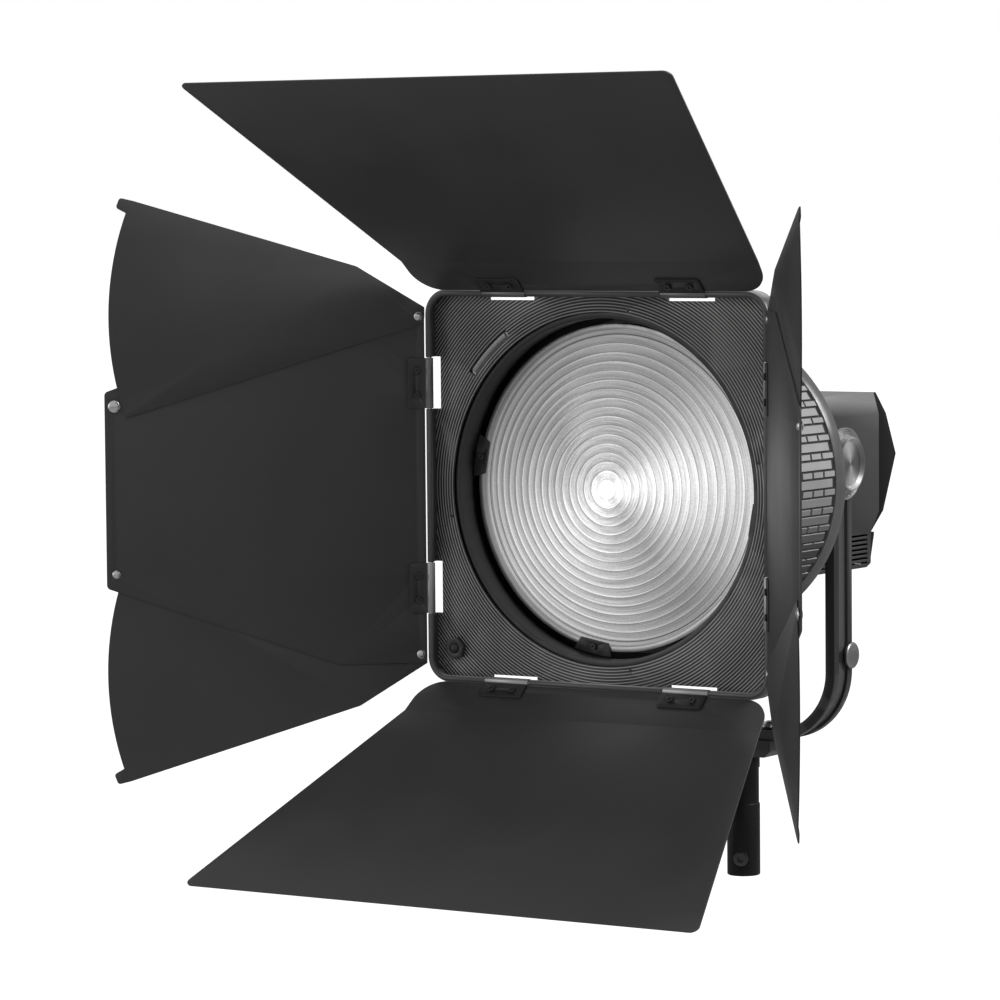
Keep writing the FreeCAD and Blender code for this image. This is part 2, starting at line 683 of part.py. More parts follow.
def guide_rod_ring():
    """The ring that carries the guide rods, held in the rear cone."""
    plate = turned_on_axis([(84.0, -62.0), (107.9, -62.0), (107.9, -58.0), (84.0, -58.0)])
    bore = rod(V(0, -70.0, OPTIC_Z + GUIDE_AT), Y_AXIS, GUIDE_R, 20.0)
    for angle in GUIDE_ANGLES:
        plate = plate.cut(around_optic(bore, angle))
    return plate


def lens_y(radius):
    """The dome's front surface at a radius from the optical axis."""
    bend = (LENS_R * LENS_R + LENS_SAG * LENS_SAG) / (2 * LENS_SAG)
    return LENS_APEX_Y + bend - math.sqrt(bend * bend - radius * radius)


def fresnel_lens():
    """The domed stepped lens: each ring slopes back to a short riser."""
    first = 15.0
    pitch = (LENS_R - 4.0 - first) / (LENS_RINGS - 1)
    front = [(0, LENS_APEX_Y), (first, lens_y(first) + 0.6)]
    for i in range(LENS_RINGS - 1):
        inner = first + pitch * i
        outer = inner + pitch
        front.append((inner, lens_y(inner)))
        front.append((outer, lens_y(outer) + 0.8 + 0.05 * i))
    front.append((LENS_R - 4.0, lens_y(LENS_R - 4.0)))
    front.append((LENS_R, lens_y(LENS_R) + 0.2))
    back = [(LENS_R, lens_y(LENS_R) + LENS_THICKNESS)]
    for radius in (110, 90, 70, 50, 30, 15, 0):
        back.append((radius, lens_y(radius) + LENS_THICKNESS))
    return turned_on_axis(front + back)


def lens_holder():
    """The grey metal cell round the lens, with a step behind the glass and three sliding legs."""
    seat_y = lens_y(LENS_R) + LENS_THICKNESS
    cell = turned_on_axis([
        (LENS_R + 0.2, HOLDER_FRONT_Y + 4.0), (LENS_R + 0.6, HOLDER_FRONT_Y), (HOLDER_R, HOLDER_FRONT_Y),
        (HOLDER_R, seat_y + 4.0), (120.0, seat_y + 4.0), (120.0, seat_y + 0.1),
        (LENS_R + 0.2, seat_y + 0.1),
    ])
    legs = []
    for angle in GUIDE_ANGLES:
        arm = box(-7, 7, seat_y + 3.0, seat_y + 9.0, OPTIC_Z + GUIDE_AT, OPTIC_Z + 122)
        shoe = rod(V(0, seat_y + 3.0, OPTIC_Z + GUIDE_AT), Y_AXIS, 6.0, 40.0)
        bore = rod(V(0, -220, OPTIC_Z + GUIDE_AT), Y_AXIS, GUIDE_R + RUNNING_GAP, 200)
        legs.append(around_optic(arm.fuse(shoe).cut(bore), angle))
    cell = fuse([cell] + legs)
    hole = rod(V(0, HOLDER_FRONT_Y - 1, OPTIC_Z + CLIP_SCREW_AT), Y_AXIS, 1.0, 7)
    for angle in CLIP_ANGLES:
        cell = cell.cut(around_optic(hole, angle))
    return cell


def lens_clips():
    """Three trapezoid clips that hold the glass in its cell, each with its screw."""
    thickness = 1.6
    y = HOLDER_FRONT_Y - thickness
    screw_place = V(0, y, OPTIC_Z + CLIP_SCREW_AT)
    screw = cap_screw(screw_place, -Y_AXIS, 1.0, 6.0, 2.6, 1.5, 1.0)
    inner, outer = OPTIC_Z + 125.0, OPTIC_Z + 136.4
    clip = prism([V(-13, y, inner), V(13, y, inner), V(18, y, outer), V(-18, y, outer)], V(0, thickness, 0))
    clip = clip.common(disc(136.4, y - 1, y + thickness + 1))
    clip = clip.cut(rod(screw_place - Y_AXIS, Y_AXIS, 1.1, 4))
    clips = []
    for angle in CLIP_ANGLES:
        clips.extend([around_optic(clip, angle), around_optic(screw, angle)])
    return group(clips)


# ---- door plate ----
def rounded_square(half, radius, y0, y1):
    block = box(-half, half, y0, y1, OPTIC_Z - half, OPTIC_Z + half)
    return rounded(block, Y_AXIS, radius)


def hinge_places():
    """The middle of each of the eight hinges along its own side, as (turn in degrees, offset)."""
    return [(quarter * 90, side * HINGE_CENTRE) for quarter in range(4) for side in (-1, 1)]


def plate_screw_places():
    return [polar(PLATE_SCREW_AT, degrees) for degrees in PLATE_SCREW_ANGLES]


def hinge_rod(radius, offset):
    """One hinge rod on the left side, or the bore for it."""
    start = V(-HINGE_AT, PLATE_Y - HINGE_FORWARD, OPTIC_Z + offset - HINGE_ROD_LENGTH / 2)
    return rod(start, Z_AXIS, radius, HINGE_ROD_LENGTH)


def door_plate():
    """The square tray: a flat panel, a raised rim and a round bead along the rim's front edge."""
    front = PLATE_Y - HINGE_FORWARD
    back = PLATE_Y + PLATE_THICKNESS
    tray = rounded_square(PLATE_HALF, PLATE_CORNER_R, front, back)
    tray = tray.cut(rounded_square(PLATE_HALF - 2.0, PLATE_CORNER_R - 2.0, front - 1, PLATE_Y))
    tray = fuse([tray] + bead_pieces(front))
    tray = tray.cut(disc(OPENING_R, front - 1, back + 1))
    for degrees, offset in hinge_places():
        middle = OPTIC_Z + offset
        inner = TOP_WINDOW_INNER if degrees == 90 else WINDOW_INNER
        window = box(-PLATE_HALF - 1, -inner, front - 4, back + 0.1,
                     middle - WINDOW_WIDTH / 2, middle + WINDOW_WIDTH / 2)
        tray = tray.cut(around_optic(window, degrees))
        tray = tray.cut(around_optic(hinge_rod(ROD_R, offset), degrees))
    tray = tray.cut(spring_slot(6.0, PLATE_Y - 1, back + 1, 18))
    tray = tray.cut(rod(V(LOCK_NUT_X, front, OPTIC_Z + LOCK_NUT_Z), Y_AXIS, 4.0, 30))
    for x, z in plate_screw_places():
        tray = tray.cut(rod(V(x, front, OPTIC_Z + z), Y_AXIS, 1.5, 30))
    return tray.removeSplitter()


def bead_pieces(front):
    """The bead as four straight rods and four quarter rings at the corners."""
    corner = PLATE_CORNER_R - (PLATE_HALF - HINGE_AT)
    straight = HINGE_AT - corner
    side = rod(V(-HINGE_AT, front, OPTIC_Z - straight), Z_AXIS, BEAD_R, 2 * straight)
    bend = Part.makeTorus(corner, BEAD_R, V(0, 0, 0), Z_AXIS, 0, 360, 90)
    bend.Placement = FreeCAD.Placement(V(straight, front, OPTIC_Z + straight), FreeCAD.Rotation(X_AXIS, 90))
    pieces = []
    for quarter in range(4):
        pieces.append(around_optic(side, 90 * quarter))
        pieces.append(around_optic(bend, 90 * quarter))
    return pieces


def spring_slot(width, y0, y1, sweep):
    """A short curved slot up and to the left of the opening, for the brake spring."""
    arc = ring(SPRING_AT + width / 2, SPRING_AT - width / 2, y0, y1)
    keep = [V(0, y0 - 1, OPTIC_Z)]
    for degrees in (SPRING_DEG - sweep / 2, SPRING_DEG + sweep / 2):
        x, z = polar(200, degrees)
        keep.append(V(x, y0 - 1, OPTIC_Z + z))
    return arc.common(prism(keep, V(0, y1 - y0 + 2, 0)))


def hinge_rods():
    """Eight steel rods in the bead that carry the door knuckles."""
    return group([around_optic(hinge_rod(ROD_R, offset), degrees) for degrees, offset in hinge_places()])


def rotating_collar():
    """The collar behind the plate that turns on the barrel's front journal."""
    collar = ring(149.0, JOURNAL_R + RUNNING_GAP, PLATE_Y + 2, PLATE_Y + 12)
    for x, z in plate_screw_places():
        collar = collar.cut(rod(V(x, PLATE_Y, OPTIC_Z + z), Y_AXIS, 1.5, 10))
    return collar


def retaining_ring():
    return ring(149.0, BARREL_R + 1.0, PLATE_Y + 12, PLATE_Y + 15)


def plate_fasteners():
    """Four small screws from the plate into the collar, and the bolt and nut at the lower left."""
    screws = [rod(V(x, PLATE_Y, OPTIC_Z + z), Y_AXIS, 1.5, 9) for x, z in plate_screw_places()]
    return group(screws + [lock_nut(), lock_bolt()])


def brake_spring():
    """The curved spring behind the plate, with a raised strip that shows in the slot."""
    back = PLATE_Y + PLATE_THICKNESS + 1.0
    strip = spring_slot(4.6, PLATE_Y + 0.6, back, 16)
    return strip.fuse(spring_slot(7.4, PLATE_Y + PLATE_THICKNESS + 0.05, back, 20))


def lock_nut():
    """The hexagonal nut at the plate's lower left corner."""
    centre = V(LOCK_NUT_X, PLATE_Y - 4.0, OPTIC_Z + LOCK_NUT_Z)
    corners = [polar(9.2, 60 * i + 15) for i in range(6)]
    nut = prism([centre + V(x, 0, z) for x, z in corners], V(0, 4.0, 0))
    return nut.cut(rod(centre - Y_AXIS, Y_AXIS, 4.0, 6))


def lock_bolt():
    """The short bolt through the nut, with a domed end."""
    front = V(LOCK_NUT_X, PLATE_Y - 5.0, OPTIC_Z + LOCK_NUT_Z)
    return rod(front, Y_AXIS, 4.0, 16).fuse(dome_head(front, -Y_AXIS, 4.0, 1.5))


# ---- doors ----
# A door is built in its own frame: x runs out from the hinge line, y points to the light
# side and z runs along the hinge.
def door_matrix(opening, quarter):
    """Where a door's own frame stands when it is open by an angle from straight ahead."""
    lean = math.radians(opening)
    s, c = math.sin(lean), math.cos(lean)
    place = FreeCAD.Matrix(
        -s, c, 0, -HINGE_AT,
        -c, -s, 0, PLATE_Y - HINGE_FORWARD,
        0, 0, 1, OPTIC_Z,
        0, 0, 0, 1,
    )
    side_turn = FreeCAD.Rotation(Y_AXIS, quarter * 90)
    turn = FreeCAD.Placement(V(0, 0, 0), side_turn, V(0, 0, OPTIC_Z)).toMatrix()
    return turn.multiply(place)


def placed(shape, opening, quarter):
    """A copy of a shape from a door's own frame, set at its hinge.

    Quarter 0 is the left door, 1 the top, 2 the right and 3 the bottom.
    """
    copy = shape.copy()
    copy.Placement = FreeCAD.Placement(door_matrix(opening, quarter)).multiply(copy.Placement)
    return copy


def sheet(points, y0, y1):
    """A flat plate on an outline of (x, z) points between two heights."""
    return prism([V(x, y0, z) for x, z in points], V(0, y1 - y0, 0))


def strap_screw_ts():
    """Where the strap screws stand along the hinge: two on each strap."""
    return [centre + offset for centre in (-HINGE_CENTRE, HINGE_CENTRE)
            for offset in (-STRAP_SCREW_T, STRAP_SCREW_T)]


def strap_holes(part):
    for t in strap_screw_ts():
        part = part.cut(rod(V(STRAP_SCREW_S, -5, t), Y_AXIS, 1.5, 10))
    return part


def strap_hinges():
    """Two hinge straps in a door's own frame: a knuckle round the rod and a leaf along the sheet."""
    straps = []
    half = HINGE_WIDTH / 2
    low = DOOR_THICKNESS / 2
    for centre in (-HINGE_CENTRE, HINGE_CENTRE):
        strap = rod(V(0, 0, centre - half), Z_AXIS, KNUCKLE_R, HINGE_WIDTH)
        strap = strap.fuse(box(0.5, 18.0, low, low + 1.2, centre - half, centre + half))
        strap = rounded(strap, Y_AXIS, 3.0, [V(18.0, 0, centre - half), V(18.0, 0, centre + half)])
        bore = rod(V(0, 0, centre - half - 1), Z_AXIS, ROD_R + RUNNING_GAP, HINGE_WIDTH + 2)
        straps.append(strap_holes(strap.cut(bore)))
    return group(straps)


def strap_screws():
    """The small screws that hold the straps on the sheet, with nuts behind it."""
    screws = []
    low = DOOR_THICKNESS / 2
    for t in strap_screw_ts():
        screw = cap_screw(V(STRAP_SCREW_S, low + 1.2, t), Y_AXIS, 1.5, 4.2, 2.8, 1.6, 1.2)
        screws.append(screw.fuse(rod(V(STRAP_SCREW_S, -low, t), -Y_AXIS, 2.6, 1.2)))
    return group(screws)


def side_leaf():
    """The fixed leaf of a side door, tapering outwards, with its rivet holes."""
    half = DOOR_THICKNESS / 2
    near = 3.8
    upper = [(SIDE_DOOR_LENGTH, SIDE_TIP_T), (SIDE_KNEE_S, SIDE_KNEE_T), (near, SIDE_KNEE_T)]
    lower = [(x, -z) for x, z in reversed(upper)]
    leaf = sheet(lower + upper, -half, half)
    for x, z, radius in ((SIDE_KNEE_S, SIDE_KNEE_T, 8.0), (SIDE_DOOR_LENGTH, SIDE_TIP_T, 4.0),
                         (near, SIDE_KNEE_T, 4.0)):
        leaf = rounded(leaf, Y_AXIS, radius, [V(x, 0, z), V(x, 0, -z)])
    for side in (-1, 1):
        leaf = leaf.cut(rod(V(PIVOT_S, -5, side * PIVOT_T), Y_AXIS, 1.5, 10))
        leaf = leaf.cut(rod(V(STOP_S, -5, side * STOP_T), Y_AXIS, 1.5, 10))
    return strap_holes(leaf)


def flap(front, extra=0.0, folded=0.0):
    """A fan flap in a side door's frame, folded in by some degrees.

    The front flap lies on the light side and pivots at +z; the other lies behind, at -z. The
    rounded end near the pivot stays clear of the plate's bead through the whole fold. A flap
    with extra reaches further out at its far corner.
    """
    low = DOOR_THICKNESS / 2 + FLAP_GAP
    side = 1 if front else -1
    start = low if front else -low - FLAP_THICKNESS
    heel = polar(6.6, -106.0)
    toe = polar(FLAP_ARC_R, -18.4)
    arc_middle = polar(FLAP_ARC_R + extra / 2, 0.0)
    arc_top = polar(FLAP_ARC_R + extra, 20.0)
    tab_r = FLAP_ARC_R + extra + 9.0
    tab = [polar(tab_r, 20.3), polar(tab_r, 22.2), polar(tab_r - 11.0, 22.6)]
    knee = polar(65.0, 39.5)
    shoulder = polar(9.0, 124.0)
    end_a, end_b, end_c = [polar(FLAP_END_R, degrees) for degrees in (180.0, 196.5, 213.0)]
    edges = [
        line_at(heel, toe), arc_at(toe, arc_middle, arc_top), line_at(arc_top, tab[0]),
        line_at(tab[0], tab[1]), line_at(tab[1], tab[2]), line_at(tab[2], knee),
        line_at(knee, shoulder), line_at(shoulder, end_a), arc_at(end_a, end_b, end_c),
        line_at(end_c, heel),
    ]
    shape = Part.Face(Part.Wire(edges)).extrude(V(0, FLAP_THICKNESS, 0))
    shape = rounded(shape, Y_AXIS, 8.0, [V(knee[0], 0, knee[1])])
    shape = rounded(shape, Y_AXIS, 2.5, [V(tab[0][0], 0, tab[0][1]), V(tab[1][0], 0, tab[1][1])])
    shape = shape.cut(rod(V(0, -5, 0), Y_AXIS, 1.5 + RUNNING_GAP, 10))
    shape.rotate(V(0, 0, 0), Y_AXIS, folded)
    if not front:
        shape = shape.mirror(V(0, 0, 0), Z_AXIS)
    shape.translate(V(PIVOT_S, start, side * PIVOT_T))
    return shape


def rivet(s, t, light, back, radius, light_height):
    """A rivet through a side door with a domed head on both faces."""
    shank = rod(V(s, -back, t), Y_AXIS, 1.5, light + back)
    light_head = dome_head(V(s, light, t), Y_AXIS, radius, light_height)
    back_head = dome_head(V(s, -back, t), -Y_AXIS, radius, 1.3)
    return fuse([shank, light_head, back_head])


def side_rivets():
    """The rivets of a side door: two pivots and two guides for the flaps' edges."""
    plain = DOOR_THICKNESS / 2
    stack = plain + FLAP_GAP + FLAP_THICKNESS + 0.1
    return group([
        rivet(PIVOT_S, PIVOT_T, stack, plain, 3.6, 1.3),
        rivet(STOP_S, STOP_T, stack, plain, 5.0, 1.8),
        rivet(PIVOT_S, -PIVOT_T, plain, stack, 3.6, 1.3),
        rivet(STOP_S, -STOP_T, plain, stack, 3.6, 1.8),
    ])


def folded_door(far_length, far_half_w):
    """The top and bottom door: one sheet with a shallow fold near its hinge edge."""
    lean = math.radians(FOLD_DEG)
    half = DOOR_THICKNESS / 2
    near = 3.8
    mitre = half * math.tan(lean / 2)
    far_s = FOLD_S + far_length * math.cos(lean)
    far_n = far_length * math.sin(lean)
    edge_s = half * math.sin(lean)
    edge_n = half * math.cos(lean)
    profile = [
        V(near, -half, 0), V(FOLD_S + mitre, -half, 0), V(far_s + edge_s, far_n - edge_n, 0),
        V(far_s - edge_s, far_n + edge_n, 0), V(FOLD_S - mitre, half, 0), V(near, half, 0),
    ]
    strip = prism(profile, V(0, 0, 2 * far_half_w + 20))
    strip.translate(V(0, 0, -far_half_w - 10))
    end_s = far_s - edge_s
    upper = [(end_s, far_half_w), (FOLD_S, FOLD_HALF_W), (near, NEAR_HALF_W)]
    lower = [(x, -z) for x, z in reversed(upper)]
    cutter = sheet(lower + upper, -20, 90)
    cutter = rounded(cutter, Y_AXIS, 25.0, [V(near, 0, -NEAR_HALF_W), V(near, 0, NEAR_HALF_W)])
    cutter = rounded(cutter, Y_AXIS, 6.0, [V(end_s, 0, -far_half_w), V(end_s, 0, far_half_w)])
    return strap_holes(strip.common(cutter))


# ---- the whole spotlight ----
def all_nodes():
    nodes = {
        "stand_socket": stand_socket(),
        "socket_lock_screw": socket_lock_screw(),
        "yoke_frame": yoke_frame(),
        "base_bracket": base_bracket(),
        "base_bolts": base_bolts(),
        "socket_bolt": socket_bolt(),
        "yoke_washers": yoke_washers(),
        "channel_plug": channel_plug(),
        "arm_thumb_screw": arm_thumb_screw(),
        "tilt_knob": tilt_knob(),
        "left_pivot_bolt": left_pivot_bolt(),
        "tilt_bosses": tilt_bosses(),
        "lamp_housing": lamp_housing(),
        "rear_cover": rear_cover(),
        "display_window": display_window(),
        "control_dial": control_dial(),
        "menu_button": push_button(BUTTON_XS[0]),
        "mode_button": push_button(BUTTON_XS[1]),
        "fan_button": push_button(BUTTON_XS[2]),
        "control_board": control_board(),
        "power_sockets": power_sockets(),
        "power_switch_rocker": power_switch_rocker(),
        "fan_frame": fan_frame(),
        "fan_rotor": fan_rotor(),
        "heat_sink": heat_sink(),
        "led_board": led_board(),
        "led_emitter": led_emitter(),
        "led_reflector": led_reflector(),
        "rear_cone": rear_cone(),
        "main_barrel": main_barrel(),
        "focus_ring_core": focus_ring_core(),
        "focus_grip": focus_grip(),
        "guide_rods": guide_rods(),
        "guide_rod_ring": guide_rod_ring(),
        "fresnel_lens": fresnel_lens(),
        "lens_holder": lens_holder(),
        "lens_clips": lens_clips(),
        "door_plate": door_plate(),
        "hinge_rods": hinge_rods(),
        "rotating_collar": rotating_collar(),
        "retaining_ring": retaining_ring(),
        "plate_fasteners": plate_fasteners(),
        "brake_spring": brake_spring(),
    }
    nodes.update(door_nodes())
    return nodes


def door_nodes():
    """The four doors, each with its own hardware, turned to its side of the plate."""
    nodes = {}
    for name, opening, quarter in (("left", LEFT_OPEN, 0), ("right", RIGHT_OPEN, 2)):
        nodes[name + "_door"] = placed(side_leaf(), opening, quarter)
        nodes[name + "_door_hinges"] = placed(strap_hinges(), opening, quarter)
        nodes[name + "_door_rivets"] = placed(group([strap_screws(), side_rivets()]), opening, quarter)
    nodes["left_upper_flap"] = placed(flap(True), LEFT_OPEN, 0)
    nodes["left_lower_flap"] = placed(flap(False, extra=LOWER_LEFT_EXTRA), LEFT_OPEN, 0)
    nodes["right_lower_flap"] = placed(flap(True), RIGHT_OPEN, 2)
    nodes["right_upper_flap"] = placed(flap(False, folded=UPPER_RIGHT_FOLD), RIGHT_OPEN, 2)
    folded = (
        ("top", TOP_OPEN, 1, TOP_FAR_LENGTH, TOP_HALF_W),
        ("bottom", BOTTOM_OPEN, 3, BOTTOM_FAR_LENGTH, BOTTOM_HALF_W),
    )
    for name, opening, quarter, length, half_w in folded:
        lean = opening + FOLD_DEG
        nodes[name + "_door"] = placed(folded_door(length, half_w), lean, quarter)
        nodes[name + "_door_hinges"] = placed(strap_hinges(), lean, quarter)
        nodes[name + "_door_screws"] = placed(strap_screws(), lean, quarter)
    return nodes


def main():
    os.makedirs("parts", exist_ok=True)
    for name, shape in all_nodes().items():
        shape.exportStep("parts/" + name + ".step")


main()
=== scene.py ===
import math

import bpy
from mathutils import Matrix, Vector


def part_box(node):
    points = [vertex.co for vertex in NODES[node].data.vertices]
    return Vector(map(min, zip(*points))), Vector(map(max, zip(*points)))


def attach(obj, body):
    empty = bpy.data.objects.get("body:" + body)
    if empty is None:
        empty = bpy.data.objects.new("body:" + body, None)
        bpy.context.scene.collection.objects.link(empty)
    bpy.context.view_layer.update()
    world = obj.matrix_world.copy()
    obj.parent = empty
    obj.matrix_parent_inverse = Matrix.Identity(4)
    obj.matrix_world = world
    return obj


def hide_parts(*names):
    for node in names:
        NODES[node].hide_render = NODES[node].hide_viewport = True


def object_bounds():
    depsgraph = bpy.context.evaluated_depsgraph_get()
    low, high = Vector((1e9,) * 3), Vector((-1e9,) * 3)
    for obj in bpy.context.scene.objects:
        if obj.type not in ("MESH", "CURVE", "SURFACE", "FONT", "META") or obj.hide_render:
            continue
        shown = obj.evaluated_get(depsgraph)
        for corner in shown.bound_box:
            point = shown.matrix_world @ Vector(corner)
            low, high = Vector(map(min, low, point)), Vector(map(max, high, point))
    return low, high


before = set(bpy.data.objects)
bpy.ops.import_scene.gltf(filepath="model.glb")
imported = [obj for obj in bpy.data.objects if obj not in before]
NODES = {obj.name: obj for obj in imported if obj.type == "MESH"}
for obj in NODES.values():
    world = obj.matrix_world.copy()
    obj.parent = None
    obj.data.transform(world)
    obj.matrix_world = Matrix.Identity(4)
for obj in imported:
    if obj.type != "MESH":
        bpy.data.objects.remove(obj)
low_start, high_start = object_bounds()

MM = 0.001

# ---- places read from the frame ----
lens_low, lens_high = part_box("fresnel_lens")
OPTIC = Vector(((lens_low.x + lens_high.x) / 2, 0.0, (lens_low.z + lens_high.z) / 2))
LENS_R = (lens_high.x - lens_low.x) / 2
LENS_FRONT = lens_low.y
LENS_BACK = lens_high.y
LENS_RINGS = 15
LENS_FIRST = 15 * MM
LENS_RIM = 4 * MM
LENS_PITCH = (LENS_R - LENS_RIM - LENS_FIRST) / LENS_RINGS
grip_low, grip_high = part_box("focus_grip")
GRIP_R = (grip_high.z - grip_low.z) / 2
plate_low, plate_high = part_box("door_plate")
rod_low, rod_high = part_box("hinge_rods")
ROD_R = 2 * MM
HINGE_AT = (rod_high.x - rod_low.x) / 2 - ROD_R
HINGE_Y = (rod_low.y + rod_high.y) / 2
YOKE_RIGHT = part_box("yoke_frame")[1].x
CHANNEL_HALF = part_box("channel_plug")[1].y

# ---- sizes of what is made or painted here ----
LENS_SAG = 22 * MM
LENS_WALL = 4.6 * MM
LENS_RISER = 0.25 * MM
LENS_BULL = 1.2 * MM
LENS_INSET = 0.15 * MM
GRIP_INSET = 0.05 * MM
GRIP_BORE = 118.6 * MM
BLOCK_HEIGHT = 1.3 * MM
BLOCK_LIP = 0.25 * MM
BLOCK_PAIRS = 52
BLOCK_GAP = 2.8 * MM
SHORT_BLOCKS = 3
SHORT_WIDTH = 4.7 * MM
LONG_WIDTH = 6.9 * MM
LONG_REAR_GAP = 4.9 * MM
REAR_BLOCK = 17 * MM
GROOVE_PITCH = 2.45 * MM
PLATE_RIM_DEPTH = 10 * MM
DARK_SCREW_REACH = 30 * MM
DARK_SCREW_HALF_HEIGHT = 112 * MM
CHANNEL_LIP = 1.2 * MM
SHEET_FACE = 15e-4
BEVEL = 0.35 * MM
FINE_BEVEL = 0.2 * MM

# ---- light and camera ----
FLOOR_HALF = 300.0
FLOOR_DROP = 0.6
FLOOR_GLOW = 0.9
AMBIENT = 0.46
SHEEN_ANGLE = 1.75
KEY = {"place": (2.6, 0.6, 2.4), "target": (0, -0.1, 0.34), "size": 1.2, "power": 75}
FILL = {"place": (-2.4, -2.2, 0.8), "target": (0, -0.2, 0.34), "size": 2.0, "power": 12}
AZIMUTH = math.radians(32.66)
ELEVATION = math.radians(3.89)
ROLL = math.radians(0.5)
DISTANCE = 3.574
AIM_RIGHT = 0.0814
AIM_UP = 0.0079
FOCAL_MM = 161.2
SENSOR_MM = 36.0


# ---- node material helpers ----
class Nodes:
    """A small builder for procedural materials."""

    def __init__(self, name):
        self.material = bpy.data.materials.new(name)
        self.material.use_nodes = True
        self.tree = self.material.node_tree
        self.shader = next(n for n in self.tree.nodes if n.type == "BSDF_PRINCIPLED")
        self.output = next(n for n in self.tree.nodes if n.type == "OUTPUT_MATERIAL")
        self.place = self.new("ShaderNodeTexCoord").outputs["Object"]

    def new(self, kind, **values):
        node = self.tree.nodes.new(kind)
        for key, value in values.items():
            setattr(node, key, value)
        return node

    def link(self, a, b):
        self.tree.links.new(a, b)

    def put(self, socket, value):
        if isinstance(value, bpy.types.NodeSocket):
            self.link(value, socket)
        else:
            socket.default_value = value

    def math(self, operation, a, b=0.0, c=0.0):
        node = self.new("ShaderNodeMath", operation=operation)
        for socket, value in zip(node.inputs, (a, b, c)):
            self.put(socket, value)
        return node.outputs[0]

    def noise(self, scale, detail=3.0, vector=None):
        node = self.new("ShaderNodeTexNoise")
        node.inputs["Scale"].default_value = scale
        node.inputs["Detail"].default_value = detail
        self.link(vector or self.place, node.inputs["Vector"])
        return node.outputs["Fac"]

    def remap(self, value, low, high, out_low, out_high):
        node = self.new("ShaderNodeMapRange")
        for socket, item in zip(node.inputs, (value, low, high, out_low, out_high)):
            self.put(socket, item)
        return node.outputs[0]

    def mix(self, share, a, b):
        node = self.new("ShaderNodeMix", data_type="RGBA")
        self.put(node.inputs["Factor"], share)
        self.put(node.inputs[6], a)
        self.put(node.inputs[7], b)
        return node.outputs[2]

    def split(self):
        node = self.new("ShaderNodeSeparateXYZ")
        self.link(self.place, node.inputs[0])
        return node.outputs

    def optic_radius(self):
        """Distance from the optical axis, in metres."""
        x, _, z = self.split()
        across = self.math("SUBTRACT", x, OPTIC.x)
        up = self.math("SUBTRACT", z, OPTIC.z)
        return self.length(across, up)

    def length(self, across, up):
        squares = self.math("ADD", self.math("POWER", across, 2.0), self.math("POWER", up, 2.0))
        return self.math("SQRT", squares)

    def bump(self, height, distance, strength=1.0, normal=None):
        node = self.new("ShaderNodeBump")
        node.inputs["Strength"].default_value = strength
        node.inputs["Distance"].default_value = distance
        self.put(node.inputs["Height"], height)
        if normal is not None:
            self.link(normal, node.inputs["Normal"])
        return node.outputs["Normal"]

    def facing(self, axis, low, high):
        """Rises from 0 to 1 as the surface turns towards an axis of the room."""
        node = self.new("ShaderNodeSeparateXYZ")
        self.link(self.new("ShaderNodeNewGeometry").outputs["Normal"], node.inputs[0])
        return self.remap(node.outputs[axis], low, high, 0.0, 1.0)

    def edges(self, low=0.52, high=0.6):
        """1 on outer edges, 0 elsewhere: the mask for rubbed edges and for painted edge highlights."""
        geometry = self.new("ShaderNodeNewGeometry")
        return self.remap(geometry.outputs["Pointiness"], low, high, 0.0, 1.0)


def colour(grey, tint=0.0):
    return (grey, grey, grey * (1 + tint), 1.0)


def coated(name, grey, rough, grain=0.05 * MM, metallic=0.0, edge_wear_and_highlight=0.25, tint=0.02, painted_light_from_above=0.0, specular=0.5):
    """Powder coat or paint: fine grain, patchy sheen, lighter rubbed edges that can also carry a painted edge
    highlight, and, where asked, painted light from above: lighter where it faces up, painted shade where it
    faces down.
    """
    m = Nodes(name)
    speckle = m.noise(2600.0, 2.0)
    patch = m.noise(14.0, 4.0)
    share = m.remap(patch, 0.35, 0.65, 0.0, 1.0)
    base = m.mix(share, colour(grey * 0.93, tint), colour(grey * 1.07, tint))
    # painted light from above: up-facing faces lighter, down-facing faces given painted shade
    if painted_light_from_above:
        base = m.mix(m.math("MULTIPLY", m.facing("Z", 0.15, 0.45), painted_light_from_above), base, colour(0.5))
        base = m.mix(m.facing("Z", -0.1, -0.3), base, colour(grey * 0.25))
    # edges lightened: rubbed paint, and where the amount is large a painted edge highlight
    edge_lightening = m.math("MULTIPLY", m.edges(), edge_wear_and_highlight)
    m.put(m.shader.inputs["Base Color"], m.mix(edge_lightening, base, colour(min(0.5, grey * 4))))
    m.shader.inputs["Specular IOR Level"].default_value = specular
    m.put(m.shader.inputs["Roughness"], m.remap(patch, 0.3, 0.7, rough - 0.05, rough + 0.05))
    m.shader.inputs["Metallic"].default_value = metallic
    m.link(m.bump(speckle, grain), m.shader.inputs["Normal"])
    return m.material


def turned_metal(name, grey, rough, axis="Y", lines=9000.0, tint=0.0):
    """Machined metal with fine tool marks that run round an axis."""
    m = Nodes(name)
    parts = m.split()
    along = parts["XYZ".index(axis)]
    marks = m.new("ShaderNodeTexNoise", noise_dimensions="1D")
    marks.inputs["Detail"].default_value = 2.0
    m.link(m.math("MULTIPLY", along, lines), marks.inputs["W"])
    marks.inputs["Scale"].default_value = 1.0
    patch = m.noise(40.0, 3.0)
    m.put(m.shader.inputs["Base Color"], m.mix(patch, colour(grey * 0.85, tint), colour(grey, tint)))
    m.put(m.shader.inputs["Roughness"], m.remap(marks.outputs["Fac"], 0.3, 0.7, rough - 0.07, rough + 0.09))
    m.shader.inputs["Metallic"].default_value = 1.0
    m.link(m.bump(marks.outputs["Fac"], 0.02 * MM), m.shader.inputs["Normal"])
    return m.material


